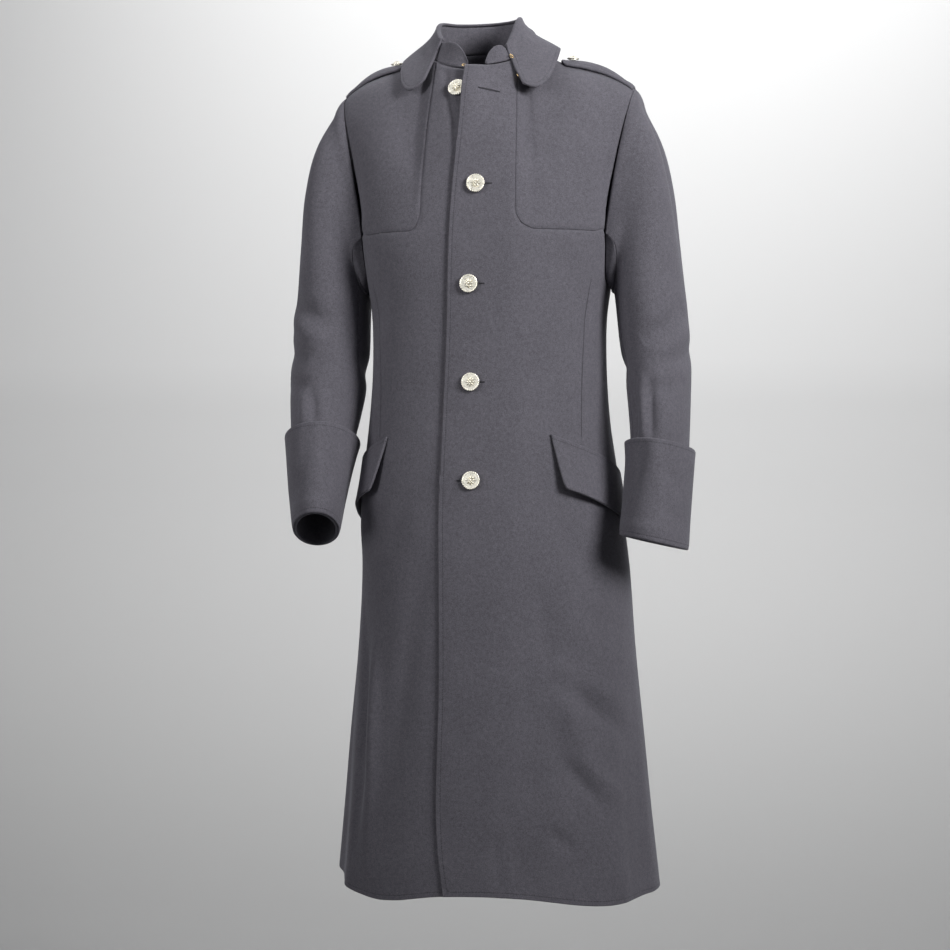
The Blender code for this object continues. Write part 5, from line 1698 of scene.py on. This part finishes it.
# View, floor and light
def make_camera():
    """A level view from a little to the wearer's left."""
    turn, distance = radians(VIEW_TURN), VIEW_DISTANCE
    camera = bpy.data.objects.new("camera", bpy.data.cameras.new("camera"))
    bpy.context.scene.collection.objects.link(camera)
    camera.location = (distance * sin(turn), -distance * cos(turn), VIEW_HEIGHT)
    camera.rotation_euler = (radians(90), 0, turn)
    camera.data.sensor_width = SENSOR
    camera.data.lens = SENSOR * FOCAL_PIXELS / PICTURE_PIXELS
    camera.data.shift_x = SHIFT_PIXELS / PICTURE_PIXELS
    bpy.context.scene.camera = camera


def make_studio():
    """A pale floor that sweeps up behind, painted darker toward its foot as painted shade, and soft light
    mostly from the upper right.
    """
    profile = [(-5.0, FLOOR_HEIGHT), (SWEEP_START, FLOOR_HEIGHT)]
    profile += [(SWEEP_START + SWEEP_RADIUS * sin(radians(turn)),
                 FLOOR_HEIGHT + SWEEP_RADIUS * (1 - cos(radians(turn)))) for turn in range(10, 91, 10)]
    profile += [(SWEEP_START + SWEEP_RADIUS, 3.5)]
    mesh = bpy.data.meshes.new("floor")
    points = [(x, y, z) for y, z in profile for x in (-7, 7)]
    faces = [(2 * n, 2 * n + 1, 2 * n + 3, 2 * n + 2) for n in range(len(profile) - 1)]
    mesh.from_pydata(points, [], faces)
    mesh.shade_smooth()
    mesh.materials.append(paper_with_painted_falloff("pale_floor"))
    floor = bpy.data.objects.new("floor", mesh)
    bpy.context.scene.collection.objects.link(floor)
    for name, place, aim, size, power, spread_angle in LAMPS:
        lamp = bpy.data.objects.new(name, bpy.data.lights.new(name, "AREA"))
        lamp.data.shape = "DISK"
        lamp.data.size = size
        lamp.data.energy = power
        lamp.data.spread = radians(spread_angle)
        lamp.location = place
        lamp.rotation_mode = "QUATERNION"
        lamp.rotation_quaternion = (Vector(aim) - Vector(place)).to_track_quat("-Z", "Y")
        bpy.context.scene.collection.objects.link(lamp)
    bpy.context.scene.world = make_air()
    bpy.context.scene.view_settings.view_transform = "Standard"


def make_air():
    """Dim air that is lighter above, in which polished metal sees bright windows between dark walls."""
    world = bpy.data.worlds.new("studio_air")
    world.use_nodes = True
    tree = world.node_tree
    direction = tree.nodes.new("ShaderNodeTexCoord").outputs["Generated"]
    parts = tree.nodes.new("ShaderNodeSeparateXYZ")
    tree.links.new(direction, parts.inputs[0])
    soft = spread(tree, parts.outputs["Z"], -0.6, 0.8, AIR_BELOW, AIR_ABOVE)
    windows = spread(tree, noise(tree, direction, WINDOW_SCALE, 1, 0.6), 0.46, 0.54, WALL_LIGHT, WINDOW_LIGHT)
    polished = tree.nodes.new("ShaderNodeLightPath").outputs["Is Glossy Ray"]
    seen = reckon(tree, "MULTIPLY", polished, reckon(tree, "SUBTRACT", windows, soft))
    back = tree.nodes["Background"]
    back.inputs["Color"].default_value = (0.95, 0.97, 1.0, 1)
    tree.links.new(reckon(tree, "ADD", soft, seen), back.inputs["Strength"])
    return world


# The whole coat
def finish_piece(item, slot, *nodes):
    """Fixes a piece to the coat in place of the solids that it stands for. The finish passed to it is not
    used.
    """
    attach(item, "root")
    if nodes:
        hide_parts(*nodes)
    return item


def make_coat():
    """Every piece of cloth, cut from the dense body or laid on it, and the fastenings."""
    nap = make_melton_group()
    shell = melton(nap, "melton_shell", CLOTH_COLOUR, 1.0)
    plain = melton(nap, "melton_plain", CLOTH_COLOUR, 0.0)
    rubbed = make_smudge_group()
    silver = metal(rubbed, "button_silver", SILVER_COLOUR, SILVER_SHINE)
    brass = metal(rubbed, "hook_brass", BRASS_COLOUR, BRASS_SHINE)
    # buttonhole thread with painted shade: darker than the wool it is worked in
    thread = melton(nap, "buttonhole_thread", SHADED_THREAD_COLOUR, 0.0)
    strip = Strip()
    body = Body(strip)
    out = abs(body.cell_across)
    for side in (LEFT, RIGHT):
        here = body.cell_across * side > 0
        name = SIDE_NAME[side]
        high = body.cell_up > LOW_ROWS
        yoke = high & (out < body.yoke) & (out > body.front_armhole)
        back = out < body.side_seam
        front = ~back & ~yoke
        finish_piece(body.cut("front_%s_cloth" % name, here & front, shell), "wool", "front_" + name)
        finish_piece(body.cut("yoke_%s_cloth" % name, here & yoke, plain), "wool", "yoke_" + name)
        finish_piece(body.cut("back_%s_cloth" % name, here & back, shell), "wool", "back_" + name)
    ground = Ground(body, body.real)
    neck = neck_curve(body)
    for side in (LEFT, RIGHT):
        name = SIDE_NAME[side]
        for item, part in zip(make_sleeve(body, strip, side, plain), ("top", "under")):
            finish_piece(item, "wool", "sleeve_%s_%s" % (name, part))
        finish_piece(make_cuff(side, shell), "wool", "cuff_" + name)
        finish_piece(make_strap(ground, side, shell), "wool", "shoulder_strap_" + name)
        finish_piece(make_flap(ground, side, shell), "wool", "pocket_flap_" + name)
    finish_piece(make_collar_stand(neck, plain), "wool", "collar_stand")
    finish_piece(make_collar_fall(neck, ground, shell), "wool", "collar_fall")
    make_fastenings(body, ground, silver, brass, thread)


def make_fastenings(body, ground, silver, brass, thread):
    """The buttons, their holes, and the wire hooks and eyes at the neck."""
    pattern = model_button()
    right = Ground(body, body.real & (body.cell_across < 0))
    for button in BUTTONS:
        panel = right if button.panel == "front_right" else ground
        place, outward = panel.ahead(button.x, button.height)
        item = set_button(pattern, button.name + "_metal", BUTTON_RADIUS, place, outward, silver)
        finish_piece(item, "silver", button.name)
    for number, button in enumerate(BUTTONS):
        x = button.x + HOLE_SHIFTS[number]
        height = button.height - (TOP_HOLE_DROP if number == 0 else 0.0)
        slope = TOP_HOLE_SLOPE if number == 0 else 0.0
        hole = make_buttonhole(ground, "buttonhole_%d" % (number + 1), x, height, slope, thread)
        finish_piece(hole, "wool")
    for side in (LEFT, RIGHT):
        name = SIDE_NAME[side]
        strap = bpy.data.objects["strap_%s_cloth" % name]
        tree = BVHTree.FromPolygons([vertex.co for vertex in strap.data.vertices],
                                    [tuple(polygon.vertices) for polygon in strap.data.polygons])
        ridge = shoulder_seam(side, STRAP_LENGTH_SHARE[0] + 0.11)
        place, outward, _, _ = tree.ray_cast(Vector((ridge.x, ridge.y, 0.3)), Vector((0, 0, -1)))
        label = "strap_button_" + name
        item = set_button(pattern, label + "_metal", STRAP_BUTTON_RADIUS, place, outward, silver)
        finish_piece(item, "silver", label)
    bpy.data.objects.remove(pattern, do_unlink=True)
    points, faces = [], []
    for name in ("collar_stand_cloth", "collar_fall_cloth", "front_left_cloth", "front_right_cloth"):
        mesh = bpy.data.objects[name].data
        faces += [[len(points) + corner for corner in polygon.vertices] for polygon in mesh.polygons]
        points += [vertex.co.copy() for vertex in mesh.vertices]
    tree = BVHTree.FromPolygons(points, faces)
    for hook in HOOKS:
        hit, outward, _, _ = tree.find_nearest(Vector((hook.x, HOOK_FRONT, hook.z)))
        if outward.y > 0:
            outward = -outward
        wire = make_hook(hook.name, hit + outward * HOOK_LIFT, outward, hook.spin, hook.eye, brass)
        finish_piece(wire, "brass")


make_camera()
make_studio()
make_coat()
